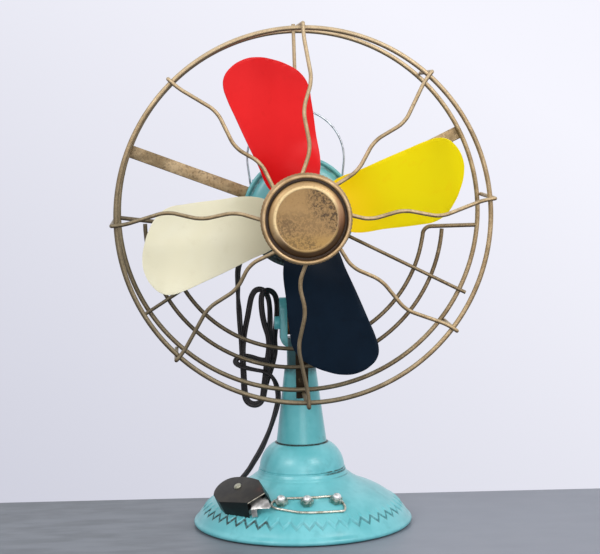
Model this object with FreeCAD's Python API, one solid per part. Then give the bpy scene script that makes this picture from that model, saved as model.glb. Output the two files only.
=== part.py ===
import FreeCAD, Part
import math
import os
from FreeCAD import Vector

# Table fan in painted sheet metal: a round stand, a head that tilts on a bolted knuckle, a wire guard,
# four loose-turning blades, a wire bail, and a small switch with its lead.
# Millimetres. +Z is up, the fan faces -Y, and the origin is under the stand at the middle of its foot.
# "Forward" is a distance along -Y. Angles round the fan axis start at +X and run towards +Z.

# ---- driving dimensions ----
sheet = 1.2                  # wall of the spun and rolled sheet pieces
running_fit = 0.05           # radial play of a shaft in its hole
moving_gap = 0.3             # play between pieces that move past each other

# stand
base_radius = 80.3
rim_roll = 2.1               # how far the rolled edge bulges past the skirt's last curve
rim_top = 5.2                # where the rolled edge meets the skirt's curve
rim_lift = 0.4               # the skirt's edge stays this far off the table
felt_thickness = 1.2
felt_margin = 5.0
shoulder_radius = 50.0
shoulder_drop = 13.44         # from the skirt's top down to the joint of its two curves
shoulder_slope_deg = 19.3
skirt_top_radius = 31.8
skirt_top_height = 41.0
dome_radius = 31.2
dome_height = 19.0
column_foot_radius = 18.4
column_top_radius = 11.3
column_height = 56.0
plate_rise = 11.0            # dished middle of the base plate, over the rod's nut
plate_well_radius = 20.0
rod_radius = 3.0
rod_nut_height = 5.0
rod_nut_across = 10.0
rod_thread_engagement = 14.0

# tilting knuckle
neck_radius = 9.6
neck_height = 15.0           # from the column's top to the underside of the fork
neck_spigot = 12.0           # length that sits down inside the column
fork_half_width = 14.3
fork_arm = 5.0
fork_depth = 18.0
fork_floor = 6.0
fork_corner = 6.5
bolt_above_fork = 17.0       # from the fork's underside to the tilt bolt
fork_top_above_bolt = 18.6
bolt_radius = 3.0
bolt_head_radius = 4.75
bolt_head_height = 4.1
bolt_nut_across = 10.0
bolt_nut_height = 5.0
friction_washer_radius = 8.8
friction_washer_thickness = 2.5
tongue_depth = 17.0

# head
axis_height_above_bolt = 82.0
guard_wire_radius = 1.7
guard_radius = 128.2         # centre line of both guard rings
rear_ring_forward = 23.0
front_ring_forward = 80.0
flange_radius = 40.2
flange_bead_width = 3.0
flange_groove_depth = 1.5
front_dome_rise = 5.0
drum_radius = 34.0
drum_back = 38.0             # distance of the drum's rear edge behind the tilt bolt
cap_lip = 6.0
cap_depth = 13.0
cap_flat_radius = 9.0
cap_screw_count = 3
cap_screw_radius = 1.5
cap_screw_head_radius = 2.9
cap_screw_head_height = 1.6
saddle_length = 30.0
saddle_angle_deg = 34.0
saddle_thickness = 2.0
saddle_rivet_radius = 1.6
saddle_rivet_head = 2.9
saddle_rivet_head_height = 1.4
strip_width = 9.0
strip_thickness = 1.5
strip_tail = 5.0             # how far the lowest strip runs past the rear ring
strip_angles = {"left": 159.0, "right": 25.4, "bottom": 270.0}
rear_wire_radius = 1.3
rear_wire_angles = {"top": 90.9, "left": 212.2, "right": -27.0}
rear_wire_nub = 3.0
arc_wire_radius = 1.5
arc_centre_side = -3.4
arc_centre_drop = 5.6
outer_arc_inset = 21.7       # from the guard's centre line in to the outer arc's
arc_spacing = 13.7           # between the two arcs' centre lines
arc_leg_drop = 3.0           # the inner arc's legs lie this far above its centre line
arc_corner_radius = 6.0
arc_end_gap = 0.08
arc_turn_deg = 2.2           # both arcs lie turned clockwise, as seen from the front
spoke_wire_radius = 1.4
spoke_angles = (89.5, 47.7, 4.4, -37.9, -89.7, -133.1, -178.7, 133.5)
spoke_bend_radius = 9.0
spoke_hook_radius = 2.6
spoke_waves = ((46.0, 5.7), (68.0, 1.2), (92.0, 7.9))   # radius, sideways bow
badge_radius = 30.1
badge_back_radius = 31.3
badge_back_forward = 98.4
badge_depth = 7.0
badge_bead_radius = 1.25
badge_floor = 1.6
cap_radius = 25.0
cap_face_radius = 20.8
cap_height = 6.2
cap_shoulder = 2.2
badge_plug_radius = 9.0       # boss on the cap's back that is pressed into the dish

# bail
bail_wire_radius = 0.9
bail_loop_radius = 35.3
bail_loop_above_axis = 37.5
bail_pivot_above_axis = 18.5
bail_pivot_side = 33.3
bail_back = 8.0
bail_corner_radius = 1.2
ear_thickness = 1.6
ear_width = 8.0
bail_end_length = 3.8

# rotor
spindle_radius = 2.5
bush_radius = 5.0
bush_flange_radius = 8.0
bush_flange_thickness = 1.5
bush_inner_length = 8.0
bush_nose = 2.0
collar_radius = 6.5
collar_length = 6.0
hub_radius = 9.0
hub_length = 12.0
hub_plate_radius = 25.0
hub_plate_thickness = 2.0
blade_plane_forward = 50.0
blade_sheet = 0.9
blade_first_angle = 14.7
blade_root_radius = 12.0
blade_root_half_width = 8.0
blade_tip_radius = 116.5
blade_pitch_deg = 17.0
blade_rivet_radius = 1.5
blade_rivet_head_radius = 2.8
blade_rivet_head_height = 1.2
blade_rivet_places = (15.5, 21.5)
acorn_across = 9.0
acorn_height = 8.0
spindle_nose = 6.0

# switch on the skirt
switch_angle_deg = -140.0
switch_radius = 62.0         # distance of its foot point from the fan's upright axis
switch_slope_deg = 34.0
switch_wall = 0.8
switch_height = 11.0
switch_plate_height = 3.0
pivot_pin_radius = 1.5
pivot_head_radius = 2.9
pivot_head_height = 1.5
lever_sheet = 0.8
lever_width = 9.5
lever_head_width = 14.0
lever_neck_reach = 25.2      # the arm widens past this distance from its pivot
lever_reach = 31.0
lever_leg = 6.0
lever_leg_width = 6.0
lever_hub_radius = 5.5
lever_lift = 2.4             # space under the lever inside the cover
stud_ring_radius = 55.3
stud_angles = (-108.9, -90.3, -68.3)
stud_radius = 2.0
stud_nut_across = 7.0
stud_nut_height = 3.0
stud_end = 2.6
stud_head_radius = 3.6
stud_head_height = 2.0
rail_wire_radius = 0.8
rail_lift = 1.15             # centre of the rail above the skirt
rail_corner_radius = 2.2
rail_leg_depth = 3.2
rail_legs = ((47.9, -81.5), (47.9, -85.5))           # distance from the upright axis, angle
rail_spots = ((47.9, -69.5), (52.6, -62.4), (61.0, -62.6), (64.0, -68.8), (63.5, -78.0), (63.2, -87.0),
              (62.7, -96.0), (62.0, -104.5), (60.9, -110.7), (56.6, -114.6), (51.1, -113.6), (48.5, -106.0),
              (48.2, -96.0))

# lead
cord_width = 4.0
grommet_radius = 4.0
grommet_length = 9.0
grommet_angle_deg = 220.0
grommet_back = 12.0
entry_side = -9.0            # where the lead enters the cover, in the switch's frame
entry_up = 19.2
entry_lift = 8.0
hank_front = -2.2
hank_back = 9.8
lead_pivot = (-44.8, 0.0)    # where the lead crosses the tilt bolt's level

# ---- heights and planes that follow ----
column_foot = skirt_top_height + dome_height
column_top = column_foot + column_height
fork_bottom = column_top + neck_height
bolt_height = fork_bottom + bolt_above_fork
fork_top = bolt_height + fork_top_above_bolt
axis_height = bolt_height + axis_height_above_bolt
outer_arc_radius = guard_radius - outer_arc_inset
inner_arc_radius = outer_arc_radius - arc_spacing
flange_back = rear_ring_forward - guard_wire_radius
flange_front = rear_ring_forward + guard_wire_radius
fork_gap_half = fork_half_width - fork_arm
tongue_half = fork_gap_half - friction_washer_thickness - moving_gap

made = {}


def keep(node, shape):
    """Register one sub-part."""
    made[node] = shape


# ---- general shapes ----
def bezier(points):
    curve = Part.BezierCurve()
    curve.setPoles(points)
    return curve


def revolve_profile(outline):
    """Turn a closed outline in the XZ plane about the upright axis."""
    face = Part.Face(Part.Wire(Part.__sortEdges__(outline)))
    return face.revolve(Vector(0, 0, 0), Vector(0, 0, 1), 360)


def polygon_edges(points, closed=True):
    ends = points[1:] + points[:1] if closed else points[1:]
    return [Part.LineSegment(a, b).toShape() for a, b in zip(points, ends)]


def turned_upright(pairs):
    """Turn a polygon of (radius, height) about the upright axis."""
    return revolve_profile(polygon_edges([Vector(r, 0, z) for r, z in pairs]))


def on_axis(radius, forward, angle_deg=90.0):
    """Point at a radius round the fan axis, a distance in front of the knuckle."""
    a = math.radians(angle_deg)
    return Vector(radius * math.cos(a), -forward, axis_height + radius * math.sin(a))


def turned_forward(pairs):
    """Turn a polygon of (radius, forward) about the fan axis."""
    points = [on_axis(r, f) for r, f in pairs]
    face = Part.Face(Part.makePolygon(points + points[:1]))
    return face.revolve(Vector(0, 0, axis_height), Vector(0, 1, 0), 360)


def bar(start, direction, radius, length):
    return Part.makeCylinder(radius, length, start, direction)


def tube(start, direction, radius, bore, length):
    return bar(start, direction, radius, length).cut(bar(start, direction, bore, length))


def frame_at(origin, x_dir, z_dir):
    """Placement whose local axes are x_dir, z_dir cross x_dir, and z_dir."""
    x_axis = Vector(x_dir).normalize()
    z_axis = Vector(z_dir).normalize()
    y_axis = z_axis.cross(x_axis)
    m = FreeCAD.Matrix(x_axis.x, y_axis.x, z_axis.x, origin.x,
                       x_axis.y, y_axis.y, z_axis.y, origin.y,
                       x_axis.z, y_axis.z, z_axis.z, origin.z,
                       0, 0, 0, 1)
    return FreeCAD.Placement(m)


def across(z_dir):
    """Some direction square to z_dir, level where it can be."""
    side = Vector(z_dir).cross(Vector(0, 0, 1))
    if side.Length < 1e-6:
        side = Vector(1, 0, 0)
    return side.normalize()


def hexagon(start, direction, flats, height, bore=0.0):
    """Hexagon nut or head standing on a point."""
    corner = flats / math.sqrt(3)
    ring = [Vector(corner * math.cos(math.radians(60 * k)), corner * math.sin(math.radians(60 * k)), 0)
            for k in range(7)]
    body = Part.Face(Part.makePolygon(ring)).extrude(Vector(0, 0, height))
    if bore:
        body = body.cut(Part.makeCylinder(bore, height))
    body.Placement = frame_at(start, across(direction), direction)
    return body


def round_head(start, direction, radius, height):
    """Low domed rivet or screw head standing on a point."""
    head = turned_upright([(0, 0), (radius, 0), (radius * 0.93, height * 0.45), (radius * 0.7, height * 0.82),
                           (radius * 0.38, height), (0, height)])
    head.Placement = frame_at(start, across(direction), direction)
    return head


def bent_path(points, radii):
    """Straight runs joined by tangent arcs, one radius for each inner point."""
    edges = []
    at = points[0]
    for k in range(1, len(points) - 1):
        back = (points[k - 1] - points[k]).normalize()
        ahead = (points[k + 1] - points[k]).normalize()
        half = back.getAngle(ahead) / 2
        reach = radii[k - 1] / math.tan(half)
        first = points[k] + back * reach
        last = points[k] + ahead * reach
        middle_dir = (back + ahead).normalize()
        middle = points[k] + middle_dir * (radii[k - 1] / math.sin(half) - radii[k - 1])
        edges.append(Part.LineSegment(at, first).toShape())
        edges.append(Part.Arc(first, middle, last).toShape())
        at = last
    edges.append(Part.LineSegment(at, points[-1]).toShape())
    return Part.Wire(edges)


def wire_rod(points, radii, radius):
    """Round rod bent along a path."""
    path = bent_path(points, radii)
    ahead = points[1] - points[0]
    section = Part.Wire(Part.makeCircle(radius, points[0], ahead))
    return path.makePipeShell([section], True, False)


def solids_of(shape):
    return shape.Solids[0] if len(shape.Solids) == 1 else shape


# ---- skirt surface: two joined curves from the neck to the rim ----
slope = math.radians(shoulder_slope_deg)
shoulder = Vector(shoulder_radius, 0, skirt_top_height - shoulder_drop)
rim_radius = base_radius - rim_roll
neck_pull = 4.0
shoulder_pull_in = 10.6
shoulder_pull_out = 13.2
rim_pull = 10.0
rim_lean = 3.6
skirt_upper = bezier([
    Vector(skirt_top_radius, 0, skirt_top_height),
    Vector(skirt_top_radius + 0.4, 0, skirt_top_height - neck_pull),
    shoulder + Vector(-math.cos(slope), 0, math.sin(slope)) * shoulder_pull_in,
    shoulder])
skirt_lower = bezier([
    shoulder,
    shoulder + Vector(math.cos(slope), 0, -math.sin(slope)) * shoulder_pull_out,
    Vector(rim_radius - rim_lean, 0, rim_top + rim_pull),
    Vector(rim_radius, 0, rim_top)])


def skirt_spot(radius):
    """Height and outward normal of the skirt at a distance from the axis."""
    curve = skirt_upper if radius < shoulder_radius else skirt_lower
    low, high = 0.0, 1.0
    for _ in range(40):
        mid = (low + high) / 2
        if curve.value(mid).x < radius:
            low = mid
        else:
            high = mid
    tangent = curve.tangent(low)[0]
    return curve.value(low).z, Vector(-tangent.z, 0, tangent.x)


def on_skirt(radius, angle_deg, lift=0.0):
    """Point a little above the skirt, and the outward normal there."""
    height, normal = skirt_spot(radius)
    a = math.radians(angle_deg)
    outward = Vector(normal.x * math.cos(a), normal.x * math.sin(a), normal.z)
    spot = Vector(radius * math.cos(a), radius * math.sin(a), height)
    return spot + outward * lift, outward


def offset_curve(curve, distance, count=9):
    """Smooth curve at a distance inside another."""
    points = []
    for k in range(count + 1):
        t = k / count
        tangent = curve.tangent(t)[0]
        points.append(curve.value(t) + Vector(tangent.z, 0, -tangent.x) * distance)
    spline = Part.BSplineCurve()
    spline.interpolate(points)
    return spline


# ---- stand ----
def base_skirt():
    inner_upper = offset_curve(skirt_upper, sheet)
    inner_lower = offset_curve(skirt_lower, sheet)
    inner_rim = inner_lower.value(inner_lower.LastParameter)
    neck_in = inner_upper.value(inner_upper.FirstParameter)
    ledge = dome_radius - 8.0
    ledge_under = skirt_top_height - sheet
    seam = inner_upper.value(inner_upper.LastParameter)
    seam_low = inner_lower.value(inner_lower.FirstParameter)
    inner_edge = rim_radius - sheet
    roll = Part.Arc(Vector(rim_radius, 0, rim_top), Vector(base_radius, 0, (rim_top + rim_lift) / 2),
                    Vector(rim_radius, 0, rim_lift))
    edges = [roll.toShape()]
    edges += polygon_edges([Vector(rim_radius, 0, rim_lift), Vector(inner_edge, 0, rim_lift),
                            Vector(inner_edge, 0, rim_top - sheet), inner_rim], closed=False)
    edges += [skirt_upper.toShape(), skirt_lower.toShape(), inner_upper.toShape(), inner_lower.toShape()]
    if (seam - seam_low).Length > 1e-6:
        edges.append(Part.LineSegment(seam, seam_low).toShape())
    lip = [neck_in, Vector(neck_in.x - 0.4, 0, ledge_under), Vector(ledge, 0, ledge_under),
           Vector(ledge, 0, skirt_top_height), Vector(skirt_top_radius, 0, skirt_top_height)]
    edges += polygon_edges(lip, closed=False)
    skirt = revolve_profile(edges)
    for angle in stud_angles:
        spot, normal = on_skirt(stud_ring_radius, angle)
        skirt = skirt.cut(bar(spot - normal * 6, normal, stud_radius + running_fit, 12))
    for radius, angle in rail_legs:
        spot, normal = on_skirt(radius, angle)
        skirt = skirt.cut(bar(spot - normal * 6, normal, rail_wire_radius + running_fit, 12))
    return skirt


def base_plate():
    rim = rim_radius - sheet
    well_top = felt_thickness + plate_rise
    return turned_upright([
        (rod_radius + running_fit, well_top), (plate_well_radius - 4, well_top),
        (plate_well_radius, felt_thickness), (rim, felt_thickness),
        (rim, felt_thickness + sheet), (plate_well_radius + 1, felt_thickness + sheet),
        (plate_well_radius - 3, well_top + sheet), (rod_radius + running_fit, well_top + sheet)])


def base_felt():
    return Part.makeCylinder(base_radius - felt_margin, felt_thickness)


def dome():
    outer = bezier([Vector(dome_radius, 0, skirt_top_height),
                    Vector(dome_radius - 0.4, 0, skirt_top_height + 6.4),
                    Vector(column_foot_radius + 8.6, 0, column_foot - 3.4),
                    Vector(column_foot_radius + 0.8, 0, column_foot)])
    inner = offset_curve(outer, sheet)
    low = inner.value(inner.FirstParameter)
    high = inner.value(inner.LastParameter)
    hole = rod_radius + running_fit
    edges = [outer.toShape(), inner.toShape()]
    edges += polygon_edges([low, outer.value(0)], closed=False)
    edges += polygon_edges([outer.value(1), Vector(hole, 0, column_foot), Vector(hole, 0, column_foot - sheet),
                            Vector(high.x - 1, 0, column_foot - sheet), high], closed=False)
    return revolve_profile(edges)


def column():
    hole = neck_radius - 1.0 + running_fit
    top_in = column_top_radius - sheet
    foot_in = column_foot_radius - sheet
    return turned_upright([
        (column_foot_radius, column_foot), (column_top_radius, column_top),
        (hole, column_top), (hole, column_top - sheet), (top_in, column_top - sheet),
        (foot_in, column_foot)])


def fork():
    outer = Part.makeBox(2 * fork_half_width, fork_depth, fork_top - fork_bottom,
                         Vector(-fork_half_width, -fork_depth / 2, fork_bottom))
    low_edges = [e for e in outer.Edges if abs(e.CenterOfMass.z - fork_bottom) < 1e-3
                 and abs(abs(e.CenterOfMass.x) - fork_half_width) < 1e-3]
    body = outer.makeFillet(fork_corner, low_edges)
    slot_bottom = fork_bottom + fork_floor
    body = body.cut(Part.makeBox(2 * fork_gap_half, fork_depth + 2, fork_top,
                                 Vector(-fork_gap_half, -fork_depth / 2 - 1, slot_bottom)))
    crown_radius = fork_depth / 2
    crown = bar(Vector(-fork_half_width, 0, fork_top - crown_radius), Vector(1, 0, 0),
                crown_radius, 2 * fork_half_width)
    keep_box = Part.makeBox(2 * fork_half_width, fork_depth, fork_top - crown_radius - fork_bottom,
                            Vector(-fork_half_width, -fork_depth / 2, fork_bottom))
    body = body.common(keep_box.fuse(crown))
    body = body.cut(bar(Vector(-fork_half_width - 1, 0, bolt_height), Vector(1, 0, 0),
                        bolt_radius + running_fit, 2 * fork_half_width + 2))
    neck = Part.makeCylinder(neck_radius, neck_height + 1, Vector(0, 0, column_top))
    spigot = Part.makeCylinder(neck_radius - 1.0, neck_spigot, Vector(0, 0, column_top - neck_spigot))
    body = body.fuse(neck).fuse(spigot)
    thread = Part.makeCylinder(rod_radius, rod_thread_engagement, Vector(0, 0, column_top - neck_spigot))
    return body.cut(thread).removeSplitter()


def stand_pieces():
    keep("base_felt", base_felt())
    keep("base_plate", base_plate())
    keep("base_skirt", base_skirt())
    keep("base_dome", dome())
    keep("column", column())
    keep("knuckle_fork", fork())
    plate_top = felt_thickness + plate_rise
    nut_bottom = plate_top - rod_nut_height
    rod_bottom = nut_bottom - 1.0
    rod_top = column_top - neck_spigot + rod_thread_engagement
    keep("tie_rod", Part.makeCylinder(rod_radius, rod_top - rod_bottom, Vector(0, 0, rod_bottom)))
    up = Vector(0, 0, 1)
    keep("tie_rod_nut", hexagon(Vector(0, 0, nut_bottom), up, rod_nut_across, rod_nut_height, rod_radius))


def tilt_bolt_pieces():
    left, right = Vector(-1, 0, 0), Vector(1, 0, 0)
    arm_left = Vector(-fork_half_width, 0, bolt_height)
    arm_right = Vector(fork_half_width, 0, bolt_height)
    shank_length = 2 * fork_half_width + bolt_nut_height + 1.5
    head = bar(arm_left, left, bolt_head_radius, bolt_head_height)
    rim_edges = [e for e in head.Edges if abs(e.CenterOfMass.x - (arm_left.x - bolt_head_height)) < 1e-3]
    head = head.makeFillet(0.8, rim_edges)
    keep("tilt_bolt", head.fuse(bar(arm_left, right, bolt_radius, shank_length)).removeSplitter())
    keep("tilt_bolt_nut", hexagon(arm_right, right, bolt_nut_across, bolt_nut_height, bolt_radius))
    washers = []
    for side in (-1, 1):
        start = Vector(side * fork_gap_half, 0, bolt_height)
        washers.append(tube(start, Vector(-side, 0, 0), friction_washer_radius, bolt_radius + running_fit,
                            friction_washer_thickness))
    keep("friction_washers", Part.makeCompound(washers))


# ---- motor housing ----
def motor_front_plate():
    bead_in = flange_radius - flange_bead_width
    groove = flange_front - flange_groove_depth
    crown = flange_front + front_dome_rise
    back = flange_back
    return turned_forward([
        (flange_radius, back), (flange_radius, flange_front - 0.8), (flange_radius - 0.7, flange_front),
        (bead_in + 0.7, flange_front), (bead_in, groove), (bead_in - 1.2, groove),
        (bead_in - 3.0, flange_front + 0.4), (bead_in - 9.0, flange_front + front_dome_rise * 0.55),
        (bead_in - 17.0, flange_front + front_dome_rise * 0.85), (bush_flange_radius + 2.0, crown),
        (bush_radius, crown), (bush_radius, crown - sheet), (bush_flange_radius + 1.6, crown - sheet),
        (bead_in - 17.0, flange_front + front_dome_rise * 0.85 - sheet),
        (bead_in - 9.5, flange_front + front_dome_rise * 0.55 - sheet),
        (drum_radius - sheet - 1.5, back + 0.2), (drum_radius - sheet - 1.5, back)])


def bail_ear(side):
    """Upright lug on the drum with the bail's pivot hole."""
    inner_x = side * (bail_pivot_side - bail_wire_radius - moving_gap)
    low_x = min(inner_x, inner_x - side * ear_thickness)
    pivot = axis_height + bail_pivot_above_axis
    half = ear_width / 2
    body = Part.makeBox(ear_thickness, ear_width, bail_pivot_above_axis, Vector(low_x, bail_back - half, axis_height))
    body = body.fuse(bar(Vector(low_x, bail_back, pivot), Vector(1, 0, 0), half, ear_thickness))
    drum_core = bar(Vector(0, -flange_front, axis_height), Vector(0, 1, 0), drum_radius - sheet / 2, 2 * guard_radius)
    hole = bar(Vector(low_x - 1, bail_back, pivot), Vector(1, 0, 0), bail_wire_radius + running_fit,
               ear_thickness + 2)
    return body.cut(drum_core).cut(hole).removeSplitter()


def radial(angle_deg):
    a = math.radians(angle_deg)
    return Vector(math.cos(a), 0, math.sin(a))


def screw_angle(k):
    return 90.0 + 360.0 * k / cap_screw_count


def saddle_rivet_spots():
    reach = (tongue_depth + saddle_length) / 4
    return [Vector(0, side * reach, 0) for side in (-1, 1)]


def motor_drum():
    drum = tube(Vector(0, -flange_back, axis_height), Vector(0, 1, 0), drum_radius, drum_radius - sheet,
                flange_back + drum_back)
    hole = bar(Vector(0, grommet_back, axis_height), radial(grommet_angle_deg),
               grommet_radius - 1.2 + running_fit, drum_radius + 5)
    drum = drum.cut(hole)
    for spot in saddle_rivet_spots():
        drum = drum.cut(bar(Vector(0, spot.y, axis_height), Vector(0, 0, -1),
                            saddle_rivet_radius + running_fit, drum_radius + 5))
    for k in range(cap_screw_count):
        drum = drum.cut(bar(Vector(0, drum_back - cap_lip / 2, axis_height), radial(screw_angle(k)),
                            cap_screw_radius + running_fit, drum_radius + 5))
    return drum.fuse(bail_ear(-1)).fuse(bail_ear(1)).removeSplitter()


def motor_rear_cap():
    lip_front = -(drum_back - cap_lip)
    edge = -drum_back
    back = edge - cap_depth
    lip_radius = drum_radius + sheet
    outer = [Part.LineSegment(on_axis(lip_radius, lip_front), on_axis(lip_radius, edge)).toShape(),
             bezier([on_axis(lip_radius, edge), on_axis(lip_radius, edge - cap_depth * 0.75),
                     on_axis(cap_flat_radius + 12, back), on_axis(cap_flat_radius, back)]).toShape()]
    inner_radius = lip_radius - sheet
    inner = [Part.LineSegment(on_axis(lip_radius, lip_front), on_axis(inner_radius, lip_front)).toShape(),
             Part.LineSegment(on_axis(inner_radius, lip_front), on_axis(inner_radius, edge)).toShape(),
             bezier([on_axis(inner_radius, edge), on_axis(inner_radius, edge - (cap_depth - sheet) * 0.75),
                     on_axis(cap_flat_radius + 11, back + sheet),
                     on_axis(cap_flat_radius, back + sheet)]).toShape()]
    hole = bush_radius
    ends = [Part.LineSegment(on_axis(cap_flat_radius, back), on_axis(hole, back)).toShape(),
            Part.LineSegment(on_axis(hole, back), on_axis(hole, back + sheet)).toShape(),
            Part.LineSegment(on_axis(hole, back + sheet), on_axis(cap_flat_radius, back + sheet)).toShape()]
    face = Part.Face(Part.Wire(Part.__sortEdges__(outer + inner + ends)))
    cap = face.revolve(Vector(0, 0, axis_height), Vector(0, 1, 0), 360)
    for k in range(cap_screw_count):
        cap = cap.cut(bar(Vector(0, drum_back - cap_lip / 2, axis_height), radial(screw_angle(k)),
                          cap_screw_radius + running_fit, lip_radius + 5))
    return cap


def neck_bracket():
    """Curved saddle under the drum with the tongue that the tilt bolt passes through."""
    under = axis_height - drum_radius
    tongue = Part.makeBox(2 * tongue_half, tongue_depth, under + 6 - bolt_height,
                          Vector(-tongue_half, -tongue_depth / 2, bolt_height))
    tongue = tongue.fuse(bar(Vector(-tongue_half, 0, bolt_height), Vector(1, 0, 0), tongue_depth / 2,
                             2 * tongue_half))
    saddle = tube(Vector(0, -saddle_length / 2, axis_height), Vector(0, 1, 0),
                  drum_radius + saddle_thickness, drum_radius, saddle_length)
    half_span = (drum_radius + saddle_thickness) * math.sin(math.radians(saddle_angle_deg))
    saddle = saddle.common(Part.makeBox(2 * half_span, saddle_length, drum_radius + saddle_thickness,
                                        Vector(-half_span, -saddle_length / 2,
                                               axis_height - drum_radius - saddle_thickness)))
    body = tongue.fuse(saddle)
    body = body.cut(bar(Vector(0, -saddle_length, axis_height), Vector(0, 1, 0), drum_radius,
                        2 * saddle_length))
    body = body.cut(bar(Vector(-tongue_half - 1, 0, bolt_height), Vector(1, 0, 0),
                        bolt_radius + running_fit, 2 * tongue_half + 2))
    for spot in saddle_rivet_spots():
        body = body.cut(bar(Vector(0, spot.y, axis_height), Vector(0, 0, -1),
                            saddle_rivet_radius + running_fit, drum_radius + saddle_thickness + 5))
    return body.removeSplitter()


def through_rivet(start, direction, radius, grip, head_radius, head_height):
    """Rivet with a domed head at both ends of its grip."""
    end = start + direction * grip
    body = bar(start, direction, radius, grip)
    body = body.fuse(round_head(end, direction, head_radius, head_height))
    return body.fuse(round_head(start, direction * -1, head_radius, head_height)).removeSplitter()


def housing_pieces():
    keep("motor_front_plate", motor_front_plate())
    keep("motor_drum", motor_drum())
    keep("motor_rear_cap", motor_rear_cap())
    keep("neck_bracket", neck_bracket())
    down = Vector(0, 0, -1)
    # the inner heads are flat, so they sit where the round wall reaches their edge
    inner_seat = math.sqrt((drum_radius - sheet) ** 2 - saddle_rivet_head ** 2) - 0.03
    grip = drum_radius + saddle_thickness - inner_seat
    rivets = [through_rivet(Vector(0, spot.y, axis_height - inner_seat), down, saddle_rivet_radius,
                            grip, saddle_rivet_head, saddle_rivet_head_height)
              for spot in saddle_rivet_spots()]
    keep("bracket_rivets", Part.makeCompound(rivets))
    screws = []
    for k in range(cap_screw_count):
        out = radial(screw_angle(k))
        seat = Vector(0, drum_back - cap_lip / 2, axis_height) + out * (drum_radius + sheet)
        shank = bar(seat - out * (2 * sheet + 3), out, cap_screw_radius, 2 * sheet + 3)
        screws.append(shank.fuse(round_head(seat, out, cap_screw_head_radius,
                                            cap_screw_head_height)).removeSplitter())
    keep("cap_screws", Part.makeCompound(screws))


# ---- guard ----
def ring(radius, forward, wire_radius):
    centre = Vector(0, -forward, axis_height)
    return Part.makeTorus(radius, wire_radius, centre, Vector(0, 1, 0))


def rear_strip(angle_deg, outer_radius):
    """Flat strip on the back of the flange, out to the rear ring."""
    start = drum_radius + moving_gap
    strip = Part.makeBox(outer_radius - start, strip_thickness, strip_width,
                         Vector(start, -flange_back, -strip_width / 2))
    turn = FreeCAD.Rotation(Vector(0, -1, 0), angle_deg)
    strip.Placement = FreeCAD.Placement(Vector(0, 0, axis_height), turn).multiply(strip.Placement)
    return strip


def rear_wire(angle_deg):
    """Round wire on the front of the flange's bead and of the rear ring."""
    forward = flange_front + rear_wire_radius
    start = on_axis(flange_radius - flange_bead_width + 0.4, forward, angle_deg)
    length = guard_radius + guard_wire_radius + rear_wire_nub - (start - on_axis(0, forward)).Length
    return bar(start, radial(angle_deg), rear_wire_radius, length)


def arc_point(radius, angle_deg):
    a = math.radians(angle_deg)
    return Vector(arc_centre_side + radius * math.cos(a), -rear_ring_forward,
                  axis_height - arc_centre_drop + radius * math.sin(a))


def turned_arc(arc):
    """The arc turned about the fan's axis to its place."""
    arc.rotate(Vector(0, 0, axis_height), Vector(0, 1, 0), arc_turn_deg)
    return arc


def sweep_round(path, start, ahead, radius):
    section = Part.Wire(Part.makeCircle(radius, start, ahead))
    return path.makePipeShell([section], True, False)


def inner_arc():
    """Half hoop whose ends turn outwards into level legs that butt on the rear ring."""
    leg_z = axis_height - arc_centre_drop - arc_leg_drop
    ring_inside = guard_radius - guard_wire_radius
    end_x = math.sqrt(ring_inside ** 2 - (leg_z - axis_height) ** 2) + guard_wire_radius / 2
    big, small = inner_arc_radius, arc_corner_radius
    centre = arc_point(0, 0)
    fillet_z = leg_z - small
    level = fillet_z - centre.z
    reach = math.sqrt((big + small) ** 2 - level ** 2)
    edges = []
    plane_y = centre.y
    touches = []
    for side in (-1, 1):
        fillet = Vector(centre.x + side * reach, plane_y, fillet_z)
        touch = centre + (fillet - centre) * (big / (big + small))
        top = Vector(fillet.x, plane_y, leg_z)
        mid_dir = ((touch - fillet).normalize() + (top - fillet).normalize()).normalize()
        bend = Part.Arc(touch, fillet + mid_dir * small, top).toShape()
        leg = Part.LineSegment(top, Vector(side * end_x, plane_y, leg_z)).toShape()
        touches.append((touch, bend, leg))
    hoop = Part.Arc(touches[0][0], centre + Vector(0, 0, -big), touches[1][0]).toShape()
    edges = [touches[0][2], touches[0][1], hoop, touches[1][1], touches[1][2]]
    path = Part.Wire(Part.__sortEdges__(edges))
    start = Vector(-end_x, plane_y, leg_z)
    hoop = sweep_round(path, start, Vector(1, 0, 0), arc_wire_radius)
    return turned_arc(hoop.cut(ring(guard_radius, rear_ring_forward, guard_wire_radius)))


def outer_arc():
    """Half hoop that ends against the underside of the inner hoop's legs."""
    top = math.degrees(math.asin(-(arc_leg_drop + arc_wire_radius + arc_end_gap) / outer_arc_radius))
    first = arc_point(outer_arc_radius, 180 - top)
    last = arc_point(outer_arc_radius, top)
    path = Part.Wire(Part.Arc(first, arc_point(outer_arc_radius, -90), last).toShape())
    ahead = path.Edges[0].tangentAt(path.Edges[0].FirstParameter)
    return turned_arc(sweep_round(path, first, ahead, arc_wire_radius))


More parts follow.
